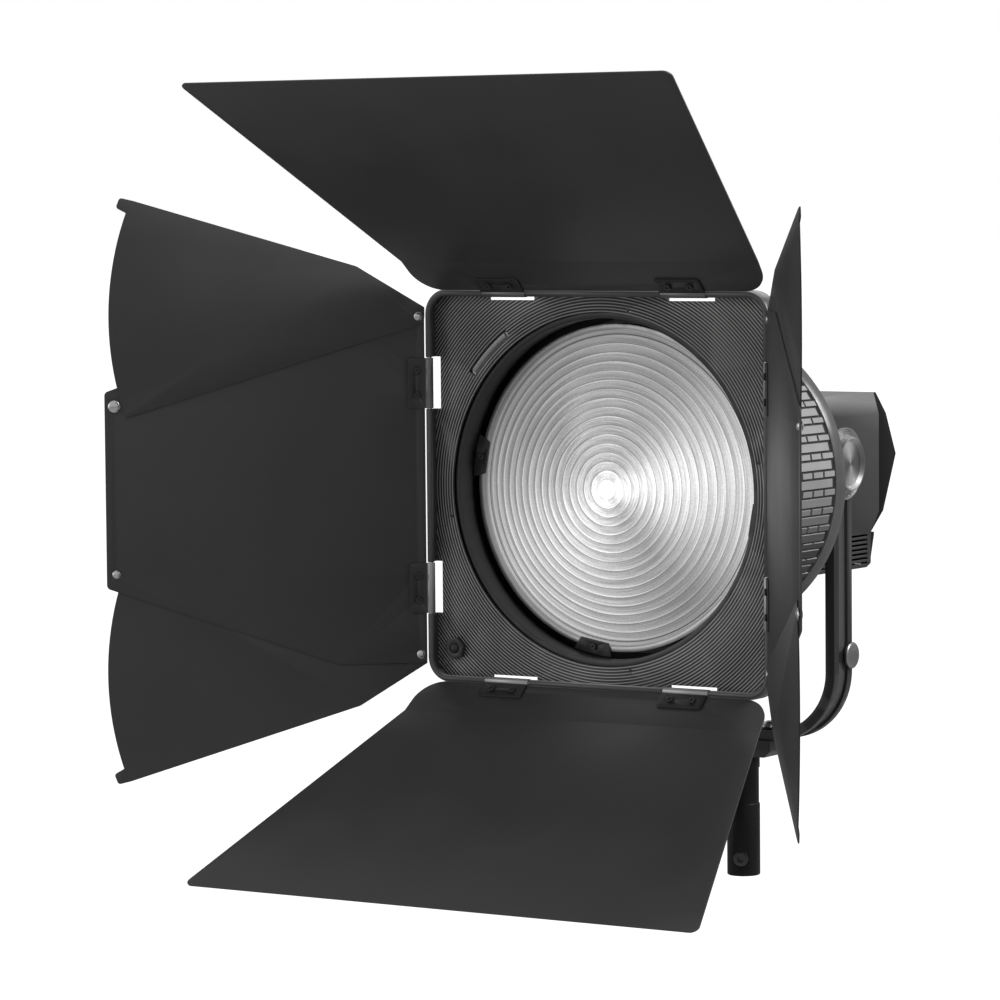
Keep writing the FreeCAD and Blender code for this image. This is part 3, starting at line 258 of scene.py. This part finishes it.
def plate_paint():
    """The door plate: black coat with fine grooves turned round the opening, painted with highlights on the
    groove crests, on up-facing faces and on edges.
    """
    m = Nodes("plate_paint")
    radius = m.optic_radius()
    wave = m.math("SINE", m.math("MULTIPLY", radius, 2 * math.pi / GROOVE_PITCH))
    crest = m.remap(wave, -0.2, 0.8, 0.0, 1.0)
    on_face = m.facing("Y", -0.9, -0.97)
    depth = m.split()[1]
    panel_start = plate_low.y + PLATE_RIM_DEPTH
    on_panel = m.remap(depth, panel_start, panel_start + 2 * MM, 0.0, 1.0)
    ridged = m.math("MULTIPLY", crest, m.math("MULTIPLY", on_face, on_panel))
    # painted highlight: the groove crests light, the troughs dark
    grooves = m.mix(ridged, colour(0.04), colour(0.44))
    base = m.mix(m.math("MULTIPLY", on_face, on_panel), colour(0.11), grooves)
    # painted highlight on up-facing faces such as the bead's top
    base = m.mix(m.math("MULTIPLY", m.facing("Z", 0.6, 0.95), 0.8), base, colour(0.7))
    # edges lightened: rubbed paint and a painted edge highlight
    m.put(m.shader.inputs["Base Color"], m.mix(m.math("MULTIPLY", m.edges(0.6, 0.7), 0.3), base, colour(0.4)))
    m.put(m.shader.inputs["Roughness"], m.remap(m.noise(60.0), 0.3, 0.7, 0.3, 0.42))
    m.shader.inputs["Metallic"].default_value = 0.35
    grain = m.bump(m.noise(2400.0, 2.0), 0.03 * MM)
    m.link(m.bump(ridged, 0.5 * MM, 0.9, grain), m.shader.inputs["Normal"])
    return m.material


def lens_glass():
    """Moulded glass with a painted glow for the light seen through it: a hot centre, bright to the right,
    with painted shade and highlight on each ring step.
    """
    m = Nodes("lens_glass")
    radius = m.optic_radius()
    x, _, z = m.split()
    pebble = m.noise(700.0, 2.0)
    share = m.math("DIVIDE", radius, LENS_R)
    hot = m.math("EXPONENT", m.math("MULTIPLY", m.math("POWER", share, 2.0), -120.0))
    halo = m.math("EXPONENT", m.math("MULTIPLY", m.math("POWER", share, 2.0), -9.0))
    angle = m.math("ARCTAN2", m.math("SUBTRACT", z, OPTIC.z), m.math("SUBTRACT", x, OPTIC.x))

    def lobe(centre_deg, power):
        facing = m.math("COSINE", m.math("SUBTRACT", angle, math.radians(centre_deg)))
        return m.math("POWER", m.math("MAXIMUM", facing, 0.0), power)

    # painted light: brighter to the right and to the lower left, faint at the top
    sectors = m.math("MULTIPLY_ADD", lobe(4.0, 5.0), 0.6, 0.29)
    sectors = m.math("MULTIPLY_ADD", lobe(225.0, 2.0), 0.42, sectors)
    sectors = m.math("MULTIPLY_ADD", lobe(95.0, 6.0), 0.07, sectors)
    fade = m.remap(share, 0.55, 1.0, 1.0, 0.72)
    light = m.math("MULTIPLY", sectors, fade)
    light = m.math("MULTIPLY_ADD", halo, 0.2, light)
    light = m.math("MULTIPLY_ADD", hot, 0.9, light)
    # painted ring shading: a dark line at each riser and a bright lip before it
    phase = m.math("FRACT", m.math("DIVIDE", m.math("SUBTRACT", radius, LENS_FIRST), LENS_PITCH))
    facet = m.remap(phase, 0.0, 1.0, 0.72, 1.12)
    riser = m.remap(phase, 0.02, 0.14, 0.5, 1.0)
    lip = m.remap(phase, 0.86, 0.95, 1.0, 1.35)
    tone = m.math("MULTIPLY", facet, m.math("MULTIPLY", riser, lip))
    # painted dark line at the rim step
    off_rim = m.math("ABSOLUTE", m.math("SUBTRACT", radius, LENS_R - LENS_RIM))
    tone = m.math("MULTIPLY", tone, m.remap(off_rim, 0.5 * MM, 0.9 * MM, 0.3, 1.0))
    # painted sparkle: noise and spun streaks in the glow
    ripple = m.remap(pebble, 0.3, 0.7, 0.86, 1.08)
    streaks = m.new("ShaderNodeTexNoise", noise_dimensions="2D")
    streaks.inputs["Scale"].default_value = 1.0
    streaks.inputs["Detail"].default_value = 3.0
    spun = m.new("ShaderNodeCombineXYZ")
    m.link(m.math("MULTIPLY", angle, 1.6), spun.inputs[0])
    m.link(m.math("MULTIPLY", radius, 900.0), spun.inputs[1])
    m.link(spun.outputs[0], streaks.inputs["Vector"])
    ripple = m.math("MULTIPLY", ripple, m.remap(streaks.outputs["Fac"], 0.3, 0.7, 0.72, 1.2))
    strength = m.math("MULTIPLY", m.math("MULTIPLY", light, ripple), tone)
    # the ring phase is also painted into the base colour as shade
    m.put(m.shader.inputs["Base Color"], m.mix(phase, colour(0.1), colour(0.28)))
    m.shader.inputs["Roughness"].default_value = 0.14
    m.shader.inputs["Transmission Weight"].default_value = 0.1
    m.shader.inputs["IOR"].default_value = 1.5
    m.put(m.shader.inputs["Emission Color"], (1.0, 1.0, 1.0, 1.0))
    m.put(m.shader.inputs["Emission Strength"], strength)
    m.link(m.bump(pebble, 0.06 * MM), m.shader.inputs["Normal"])
    return m.material


def rubber(name, low, high):
    """Matt rubber, painted lighter where it faces up and darker where it faces down."""
    m = Nodes(name)
    patch = m.noise(30.0, 4.0)
    # painted light from above: lighter facing up, darker facing down
    painted_top_light = m.math("MULTIPLY", m.facing("Z", -0.42, 0.1), m.remap(patch, 0.2, 0.8, 0.8, 1.0))
    base = m.mix(painted_top_light, colour(low), colour(high))
    m.put(m.shader.inputs["Base Color"], m.mix(m.math("MULTIPLY", m.edges(), 0.4), base, colour(0.5)))
    m.put(m.shader.inputs["Roughness"], m.remap(patch, 0.3, 0.7, 0.45, 0.6))
    m.link(m.bump(m.noise(1500.0, 3.0), 0.06 * MM), m.shader.inputs["Normal"])
    return m.material


def strap_hardware():
    """A side door's small hardware: dark screws by the hinge, bright rivets nearer its corners."""
    m = Nodes("door_hardware")
    _, y, z = m.split()
    height = m.math("ABSOLUTE", m.math("SUBTRACT", z, OPTIC.z))
    by_hinge = m.math("GREATER_THAN", y, plate_low.y - DARK_SCREW_REACH)
    dark = m.math("MULTIPLY", m.math("LESS_THAN", height, DARK_SCREW_HALF_HEIGHT), by_hinge)
    patch = m.noise(300.0, 3.0)
    bright = m.mix(patch, colour(0.6), colour(0.85))
    m.put(m.shader.inputs["Base Color"], m.mix(dark, bright, colour(0.03)))
    m.put(m.shader.inputs["Roughness"], m.remap(patch, 0.3, 0.7, 0.22, 0.36))
    m.put(m.shader.inputs["Metallic"], m.math("SUBTRACT", 1.0, dark))
    m.link(m.bump(m.noise(2000.0, 2.0), 0.02 * MM), m.shader.inputs["Normal"])
    return m.material


def hinge_coat():
    """The hinge straps: dark leaves with a painted edge highlight, and rubbed, lighter knuckles round the
    rods; the upper knuckles are painted darker and the lower ones brighter, as painted shade and light.
    """
    m = Nodes("hinge_coat")
    x, y, z = m.split()
    across = m.math("ABSOLUTE", m.math("SUBTRACT", x, OPTIC.x))
    up = m.math("ABSOLUTE", m.math("SUBTRACT", z, OPTIC.z))
    off_side = m.math("SUBTRACT", m.math("MAXIMUM", across, up), HINGE_AT)
    off_depth = m.math("SUBTRACT", y, HINGE_Y)
    distance = m.length(off_side, off_depth)
    knuckle = m.remap(distance, 3.4 * MM, 3.9 * MM, 1.0, 0.0)
    patch = m.noise(60.0, 4.0)
    leaf = m.mix(patch, colour(0.014), colour(0.022))
    # painted edge highlight along the leaves' edges
    leaf = m.mix(m.math("MULTIPLY", m.edges(), 0.35), leaf, colour(0.35))
    # painted shade on the upper knuckles, painted light on the lower ones
    upper = m.remap(z, OPTIC.z - 100 * MM, OPTIC.z + 100 * MM, 0.0, 1.0)
    m.put(m.shader.inputs["Base Color"], m.mix(knuckle, leaf, m.mix(upper, colour(0.5), colour(0.2))))
    m.put(m.shader.inputs["Roughness"], m.remap(patch, 0.3, 0.7, 0.3, 0.4))
    m.put(m.shader.inputs["Metallic"], m.math("MULTIPLY", knuckle, 0.7))
    m.link(m.bump(m.noise(2400.0, 2.0), 0.03 * MM), m.shader.inputs["Normal"])
    return m.material


def yoke_coat():
    """The yoke's satin coat: dark rails, and a channel floor painted lighter where it faces +X, as painted
    light.
    """
    m = Nodes("yoke_coat")
    x, y, _ = m.split()
    outer = YOKE_RIGHT - CHANNEL_LIP
    sunk = m.math("LESS_THAN", m.math("ABSOLUTE", x), outer)
    sideways = m.math("LESS_THAN", m.math("ABSOLUTE", y), CHANNEL_HALF)
    # painted light: the channel floor lighter where it faces +X
    floor = m.math("MULTIPLY", m.math("MULTIPLY", sunk, sideways), m.facing("X", 0.2, 0.6))
    patch = m.noise(30.0, 4.0)
    rail = m.mix(patch, colour(0.012), colour(0.02))
    base = m.mix(floor, rail, colour(0.07))
    m.put(m.shader.inputs["Base Color"], m.mix(m.math("MULTIPLY", m.edges(), 0.2), base, colour(0.3)))
    m.put(m.shader.inputs["Roughness"], m.remap(patch, 0.3, 0.7, 0.3, 0.4))
    m.shader.inputs["Specular IOR Level"].default_value = 0.4
    m.link(m.bump(m.noise(2600.0, 2.0), 0.04 * MM), m.shader.inputs["Normal"])
    return m.material


def washer_steel():
    """Black washers under the bolts, and the grooved steel washer under the tilt knob."""
    m = Nodes("washer_steel")
    outside = m.math("GREATER_THAN", m.split()[0], YOKE_RIGHT)
    patch = m.noise(200.0, 3.0)
    steel = m.mix(patch, colour(0.28), colour(0.42))
    m.put(m.shader.inputs["Base Color"], m.mix(outside, colour(0.02), steel))
    m.put(m.shader.inputs["Metallic"], m.math("MULTIPLY", outside, 0.6))
    m.put(m.shader.inputs["Roughness"], m.remap(patch, 0.3, 0.7, 0.3, 0.45))
    m.link(m.bump(m.noise(1800.0, 2.0), 0.03 * MM), m.shader.inputs["Normal"])
    return m.material


def brushed_disc():
    """The tilt knob's face: spun metal with a painted sheen that turns with the angle."""
    m = Nodes("spun_silver")
    low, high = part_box("tilt_knob")
    middle = (low + high) / 2
    _, y, z = m.split()
    across = m.math("SUBTRACT", y, middle.y)
    up = m.math("SUBTRACT", z, middle.z)
    radius = m.length(across, up)
    marks = m.new("ShaderNodeTexNoise", noise_dimensions="1D")
    marks.inputs["Detail"].default_value = 3.0
    m.link(m.math("MULTIPLY", radius, 6000.0), marks.inputs["W"])
    angle = m.math("ARCTAN2", up, across)
    twice = m.math("MULTIPLY", m.math("SUBTRACT", angle, SHEEN_ANGLE), 2.0)
    sheen = m.remap(m.math("COSINE", twice), -1.0, 1.0, 0.0, 1.0)
    # painted sheen in the base colour: bright and dark sectors by angle
    base = m.mix(m.math("POWER", sheen, 2.0), colour(0.22), colour(0.8))
    m.put(m.shader.inputs["Base Color"], base)
    m.shader.inputs["Metallic"].default_value = 0.9
    m.put(m.shader.inputs["Roughness"], m.remap(marks.outputs["Fac"], 0.3, 0.7, 0.24, 0.42))
    m.link(m.bump(marks.outputs["Fac"], 0.03 * MM), m.shader.inputs["Normal"])
    return m.material


def glowing(name, strength, tone):
    m = Nodes(name)
    m.put(m.shader.inputs["Base Color"], tone)
    m.put(m.shader.inputs["Emission Color"], tone)
    m.put(m.shader.inputs["Emission Strength"], m.remap(m.noise(800.0), 0.3, 0.7, strength * 0.8, strength))
    return m.material


def screen_glass():
    """The display: dark gloss with a few plain level bars."""
    m = Nodes("screen_glass")
    x = m.split()[0]
    bars = m.math("GREATER_THAN", m.math("SINE", m.math("MULTIPLY", x, 1400.0)), 0.2)
    inside = m.math("LESS_THAN", m.math("ABSOLUTE", x), 0.016)
    lit = m.math("MULTIPLY", bars, inside)
    m.put(m.shader.inputs["Base Color"], colour(0.015))
    m.put(m.shader.inputs["Roughness"], m.remap(m.noise(50.0), 0.3, 0.7, 0.06, 0.12))
    m.put(m.shader.inputs["Emission Color"], (0.5, 0.75, 0.9, 1.0))
    m.put(m.shader.inputs["Emission Strength"], m.math("MULTIPLY", lit, 0.25))
    return m.material


# ---- finishes for every node ----
DOOR = coated("door_paint", 0.056, 0.47, grain=0.03 * MM, edge_wear_and_highlight=0.15)
# near-black coat for the painted shadow on sheet edges
DOOR_EDGE_SHADOW = coated("door_edge_painted_shadow", 0.012, 0.5, grain=0.03 * MM, edge_wear_and_highlight=0.0)
HINGE = hinge_coat()
HARDWARE = strap_hardware()
SMALL_DARK = coated("dark_hardware", 0.03, 0.34, edge_wear_and_highlight=0.5)
YOKE = coated("yoke_coat", 0.045, 0.36, metallic=0.1, edge_wear_and_highlight=0.1)
# the housing gets painted light on its up-facing chamfer and painted shade underneath
HOUSING = coated("housing_paint", 0.03, 0.45, painted_light_from_above=0.42, specular=0.4)
PLASTIC = coated("black_plastic", 0.02, 0.5)
BLACK_METAL = turned_metal("black_anodised", 0.075, 0.36)
# a far darker copy of the turned black for the collar and ring inside the recess: painted shade
RECESS_SHADE = turned_metal("recess_painted_shade", 0.014, 0.45)
SOCKET = coated("socket_coat", 0.006, 0.4, specular=0.2)
SILVER = turned_metal("silver", 0.78, 0.22, lines=4000.0)
DARK_STEEL = turned_metal("dark_steel", 0.1, 0.3, lines=4000.0)
CELL = turned_metal("cell_grey", 0.62, 0.38)
ALUMINIUM = turned_metal("milled_aluminium", 0.6, 0.35)
BLOCKS = rubber("grip_rubber", 0.03, 0.42)
SLEEVE = rubber("grip_sleeve_rubber", 0.012, 0.035)
GLASS = lens_glass()
BOARD = coated("board_mask", 0.06, 0.4, tint=-0.4)
FINISH = {
    "door_plate": plate_paint(),
    "stand_socket": SOCKET,
    "yoke_frame": yoke_coat(),
    "base_bracket": YOKE,
    "yoke_washers": washer_steel(),
    "channel_plug": coated("plug_black", 0.01, 0.4, specular=0.3),
    "arm_thumb_screw": turned_metal("thumb_silver", 0.36, 0.34, axis="Z"),
    "socket_lock_screw": DARK_STEEL,
    "brake_spring": turned_metal("spring_steel", 0.3, 0.35),
    "tilt_knob": brushed_disc(),
    "lamp_housing": HOUSING,
    "rear_cover": coated("cover_paint", 0.01, 0.6, specular=0.08),
    # the cone's strong edge lightening is a painted highlight along its flange edge
    "rear_cone": coated("cone_paint", 0.12, 0.3, metallic=0.3, edge_wear_and_highlight=0.7),
    "display_window": screen_glass(),
    "led_emitter": glowing("led_phosphor", 3.0, (1.0, 0.85, 0.45, 1.0)),
    "led_reflector": turned_metal("reflector", 0.9, 0.12),
    "control_board": BOARD,
    "lens_holder": CELL,
}
GROUPS = [
    (DOOR, ("left_door", "right_door", "top_door", "bottom_door", "left_upper_flap", "left_lower_flap",
            "right_upper_flap", "right_lower_flap")),
    (HINGE, ("left_door_hinges", "right_door_hinges", "top_door_hinges", "bottom_door_hinges")),
    (HARDWARE, ("left_door_rivets", "right_door_rivets")),
    (SMALL_DARK, ("top_door_screws", "bottom_door_screws", "lens_clips", "plate_fasteners")),
    (SILVER, ("base_bolts", "left_pivot_bolt", "hinge_rods", "guide_rods", "socket_bolt")),
    (BLACK_METAL, ("main_barrel", "focus_ring_core", "tilt_bosses", "guide_rod_ring")),
    (RECESS_SHADE, ("rotating_collar", "retaining_ring")),
    (ALUMINIUM, ("heat_sink", "led_board")),
    (PLASTIC, ("control_dial", "menu_button", "mode_button", "fan_button", "power_sockets",
               "power_switch_rocker", "fan_frame", "fan_rotor")),
]
for material, names in GROUPS:
    for name in names:
        FINISH[name] = material


def dress(node, material, bevel):
    """Gives a CAD node its finish and, where it helps, softened edges."""
    node.data.materials.clear()
    node.data.materials.append(material)
    for face in node.data.polygons:
        face.material_index = 0
    if bevel:
        weld = node.modifiers.new("weld", "WELD")
        weld.merge_threshold = 1e-6
        soft = node.modifiers.new("bevel", "BEVEL")
        soft.width = bevel
        soft.segments = 2
        soft.limit_method = "ANGLE"
        soft.angle_limit = math.radians(35)
        soft.harden_normals = True
        node.data.shade_smooth()


def paint_rim_shadow(node):
    """Paints the cut edges of a folded sheet near black, darker than its two faces, as a painted shadow line.
    """
    sides = [face for face in node.data.polygons if face.area > SHEET_FACE]
    node.data.materials.append(DOOR_EDGE_SHADOW)
    for face in node.data.polygons:
        on_sheet = any(abs(face.normal.dot(side.normal)) > 0.98 for side in sides)
        face.material_index = 0 if on_sheet else 1


PLAIN = ("tilt_knob", "fan_rotor", "heat_sink")
REPLACED = ("fresnel_lens", "focus_grip")
for name, node in NODES.items():
    if name in REPLACED:
        continue
    thin = "door" in name or "flap" in name
    dress(node, FINISH[name], 0 if name in PLAIN else FINE_BEVEL if thin else BEVEL)
    # painted shadow line on the edges of the left door and the flaps
    if name == "left_door" or name.endswith("_flap"):
        paint_rim_shadow(node)


# ---- pieces made here ----
def new_mesh(name, vertices, faces, material, smooth=False):
    mesh = bpy.data.meshes.new(name)
    mesh.from_pydata(vertices, [], faces)
    mesh.validate()
    if smooth:
        mesh.shade_smooth()
    piece = bpy.data.objects.new(name, mesh)
    bpy.context.scene.collection.objects.link(piece)
    mesh.materials.append(material)
    return piece


def revolve(name, profile, segments, material):
    """A closed turned shell round the optical axis, from (radius, y) points; a crease repeats its point."""
    vertices, faces = [], []
    for radius, y in profile:
        for i in range(segments):
            angle = 2 * math.pi * i / segments
            across, up = radius * math.cos(angle), radius * math.sin(angle)
            vertices.append((OPTIC.x + across, y, OPTIC.z + up))
    for row in range(len(profile) - 1):
        if (Vector(profile[row]) - Vector(profile[row + 1])).length < 1e-9:
            continue
        for i in range(segments):
            j = (i + 1) % segments
            near, far = row * segments, (row + 1) * segments
            faces.append((near + i, near + j, far + j, far + i))
    return new_mesh(name, vertices, faces, material, smooth=True)


def make_lens():
    """The domed fresnel lens with curved ring facets and crisp risers."""
    edge = LENS_R - LENS_INSET
    front = LENS_FRONT + LENS_INSET
    bend = (edge * edge + LENS_SAG * LENS_SAG) / (2 * LENS_SAG)

    def dome(radius):
        return front + bend - math.sqrt(bend * bend - radius * radius)

    profile = [(0.02 * MM, front)]
    for step in range(1, 5):
        radius = LENS_FIRST * step / 4
        profile.append((radius, dome(radius) + LENS_BULL * (radius / LENS_FIRST) ** 2))
    for ring in range(LENS_RINGS):
        inner = LENS_FIRST + LENS_PITCH * ring
        depth = (1.3 + 0.05 * ring) * MM
        profile.append(profile[-1])
        profile.append((inner + LENS_RISER, dome(inner)))
        profile.append(profile[-1])
        for step in range(1, 5):
            radius = inner + LENS_RISER + (LENS_PITCH - LENS_RISER) * step / 4
            profile.append((radius, dome(radius) + depth * (step / 4) ** 1.5))
    profile.append(profile[-1])
    profile.append((edge - LENS_RIM, dome(edge - LENS_RIM)))
    profile.append((edge, dome(edge)))
    profile.append(profile[-1])
    profile.append((edge, LENS_BACK - LENS_INSET))
    profile.append(profile[-1])
    for step in range(8, -1, -1):
        radius = max(0.02 * MM, edge * step / 8 * 0.98)
        profile.append((radius, dome(radius) + LENS_WALL))
    lens = revolve("stepped_lens", profile, 256, GLASS)
    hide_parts("fresnel_lens")
    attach(lens, "lens_carriage")


def wrapped_block(vertices, faces, angle, width, y0, y1, inner, outer):
    """One rubber block on the grip, with sloping sides."""
    start = len(vertices)
    half_base = width / 2
    half_top = half_base - BLOCK_LIP
    levels = ((inner, half_base, 0.0), (outer - BLOCK_LIP, half_base, 0.0), (outer, half_top, BLOCK_LIP))
    for radius, half, cut in levels:
        for turn, y in ((-half, y0 + cut), (half, y0 + cut), (half, y1 - cut), (-half, y1 - cut)):
            a = angle + turn / outer
            vertices.append((OPTIC.x + radius * math.cos(a), y, OPTIC.z + radius * math.sin(a)))
    for level in (0, 4):
        for i in range(4):
            j = (i + 1) % 4
            faces.append((start + level + i, start + level + j, start + level + 4 + j, start + level + 4 + i))
    faces.append((start + 8, start + 9, start + 10, start + 11))


def make_grip():
    """The rubber sleeve with long blocks and rows of four short ones in turn, all round."""
    outer = GRIP_R - GRIP_INSET
    base = outer - BLOCK_HEIGHT
    y0, y1 = grip_low.y + GRIP_INSET, grip_high.y - GRIP_INSET
    section = [(GRIP_BORE, y0), (base, y0), (base, y0), (base, y1), (base, y1), (GRIP_BORE, y1)]
    sleeve = revolve("grip_sleeve", section, 200, SLEEVE)
    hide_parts("focus_grip")
    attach(sleeve, "focus_ring")
    vertices, faces = [], []
    step = 2 * math.pi / BLOCK_PAIRS
    root = base - 0.3 * MM
    front = y0 + 1 * MM
    back = y1 - 0.5 * MM
    rear = back - REAR_BLOCK
    short = (rear - front) / SHORT_BLOCKS - BLOCK_GAP
    for i in range(BLOCK_PAIRS):
        angle = i * step
        wrapped_block(vertices, faces, angle, LONG_WIDTH, front, y1 - LONG_REAR_GAP, root, outer)
        wrapped_block(vertices, faces, angle + step / 2, SHORT_WIDTH, rear, back, root, outer)
        for k in range(SHORT_BLOCKS):
            start = front + k * (short + BLOCK_GAP)
            wrapped_block(vertices, faces, angle + step / 2, SHORT_WIDTH, start, start + short, root, outer)
    blocks = new_mesh("grip_blocks", vertices, faces, BLOCKS)
    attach(blocks, "focus_ring")


make_lens()
make_grip()


# ---- stage, light and camera ----
def camera_only(tree, seen, unseen):
    """A value that is one number for the camera and another for every other ray."""
    path = tree.nodes.new("ShaderNodeLightPath")
    choose = tree.nodes.new("ShaderNodeMapRange")
    tree.links.new(path.outputs["Is Camera Ray"], choose.inputs[0])
    choose.inputs[3].default_value = unseen
    choose.inputs[4].default_value = seen
    return choose.outputs[0]


def make_stage():
    m = Nodes("floor_white")
    m.put(m.shader.inputs["Base Color"], colour(0.45))
    m.put(m.shader.inputs["Roughness"], m.remap(m.noise(3.0), 0.3, 0.7, 0.85, 0.95))
    m.put(m.shader.inputs["Emission Color"], (1.0, 1.0, 1.0, 1.0))
    m.put(m.shader.inputs["Emission Strength"], camera_only(m.tree, FLOOR_GLOW, 0.0))
    size = FLOOR_HALF
    level = low_start.z - FLOOR_DROP
    corners = [(-size, -size, level), (size, -size, level), (size, size, level), (-size, size, level)]
    new_mesh("floor", corners, [(0, 1, 2, 3)], m.material)
    world = bpy.data.worlds.new("studio")
    bpy.context.scene.world = world
    world.use_nodes = True
    background = world.node_tree.nodes["Background"]
    background.inputs["Color"].default_value = (1, 1, 1, 1)
    world.node_tree.links.new(camera_only(world.node_tree, 1.0, AMBIENT), background.inputs["Strength"])
    bpy.context.scene.view_settings.view_transform = "Standard"


def soft_light(name, place, target, size, power):
    light = bpy.data.lights.new(name, "AREA")
    light.shape = "SQUARE"
    light.size = size
    light.energy = power
    lamp = bpy.data.objects.new(name, light)
    bpy.context.scene.collection.objects.link(lamp)
    lamp.location = place
    lamp.rotation_mode = "QUATERNION"
    lamp.rotation_quaternion = (Vector(target) - Vector(place)).to_track_quat("-Z", "Y")


def make_camera():
    """A long lens from the front right, a little above the plate's middle."""
    data = bpy.data.cameras.new("camera")
    data.lens = FOCAL_MM
    data.sensor_width = SENSOR_MM
    data.clip_end = 100.0
    camera = bpy.data.objects.new("camera", data)
    bpy.context.scene.collection.objects.link(camera)
    look = Vector((-math.sin(AZIMUTH) * math.cos(ELEVATION), math.cos(AZIMUTH) * math.cos(ELEVATION),
                   -math.sin(ELEVATION)))
    right0 = Vector((math.cos(AZIMUTH), math.sin(AZIMUTH), 0))
    up0 = right0.cross(look)
    right = right0 * math.cos(ROLL) - up0 * math.sin(ROLL)
    up = right0 * math.sin(ROLL) + up0 * math.cos(ROLL)
    plate_face = Vector((OPTIC.x, plate_high.y - 0.002, OPTIC.z))
    spot = plate_face - right * AIM_RIGHT - up * AIM_UP - look * DISTANCE
    camera.matrix_world = Matrix((
        (right.x, up.x, -look.x, spot.x),
        (right.y, up.y, -look.y, spot.y),
        (right.z, up.z, -look.z, spot.z),
        (0, 0, 0, 1),
    ))
    bpy.context.scene.camera = camera


make_stage()
soft_light("key", **KEY)
soft_light("fill", **FILL)
make_camera()
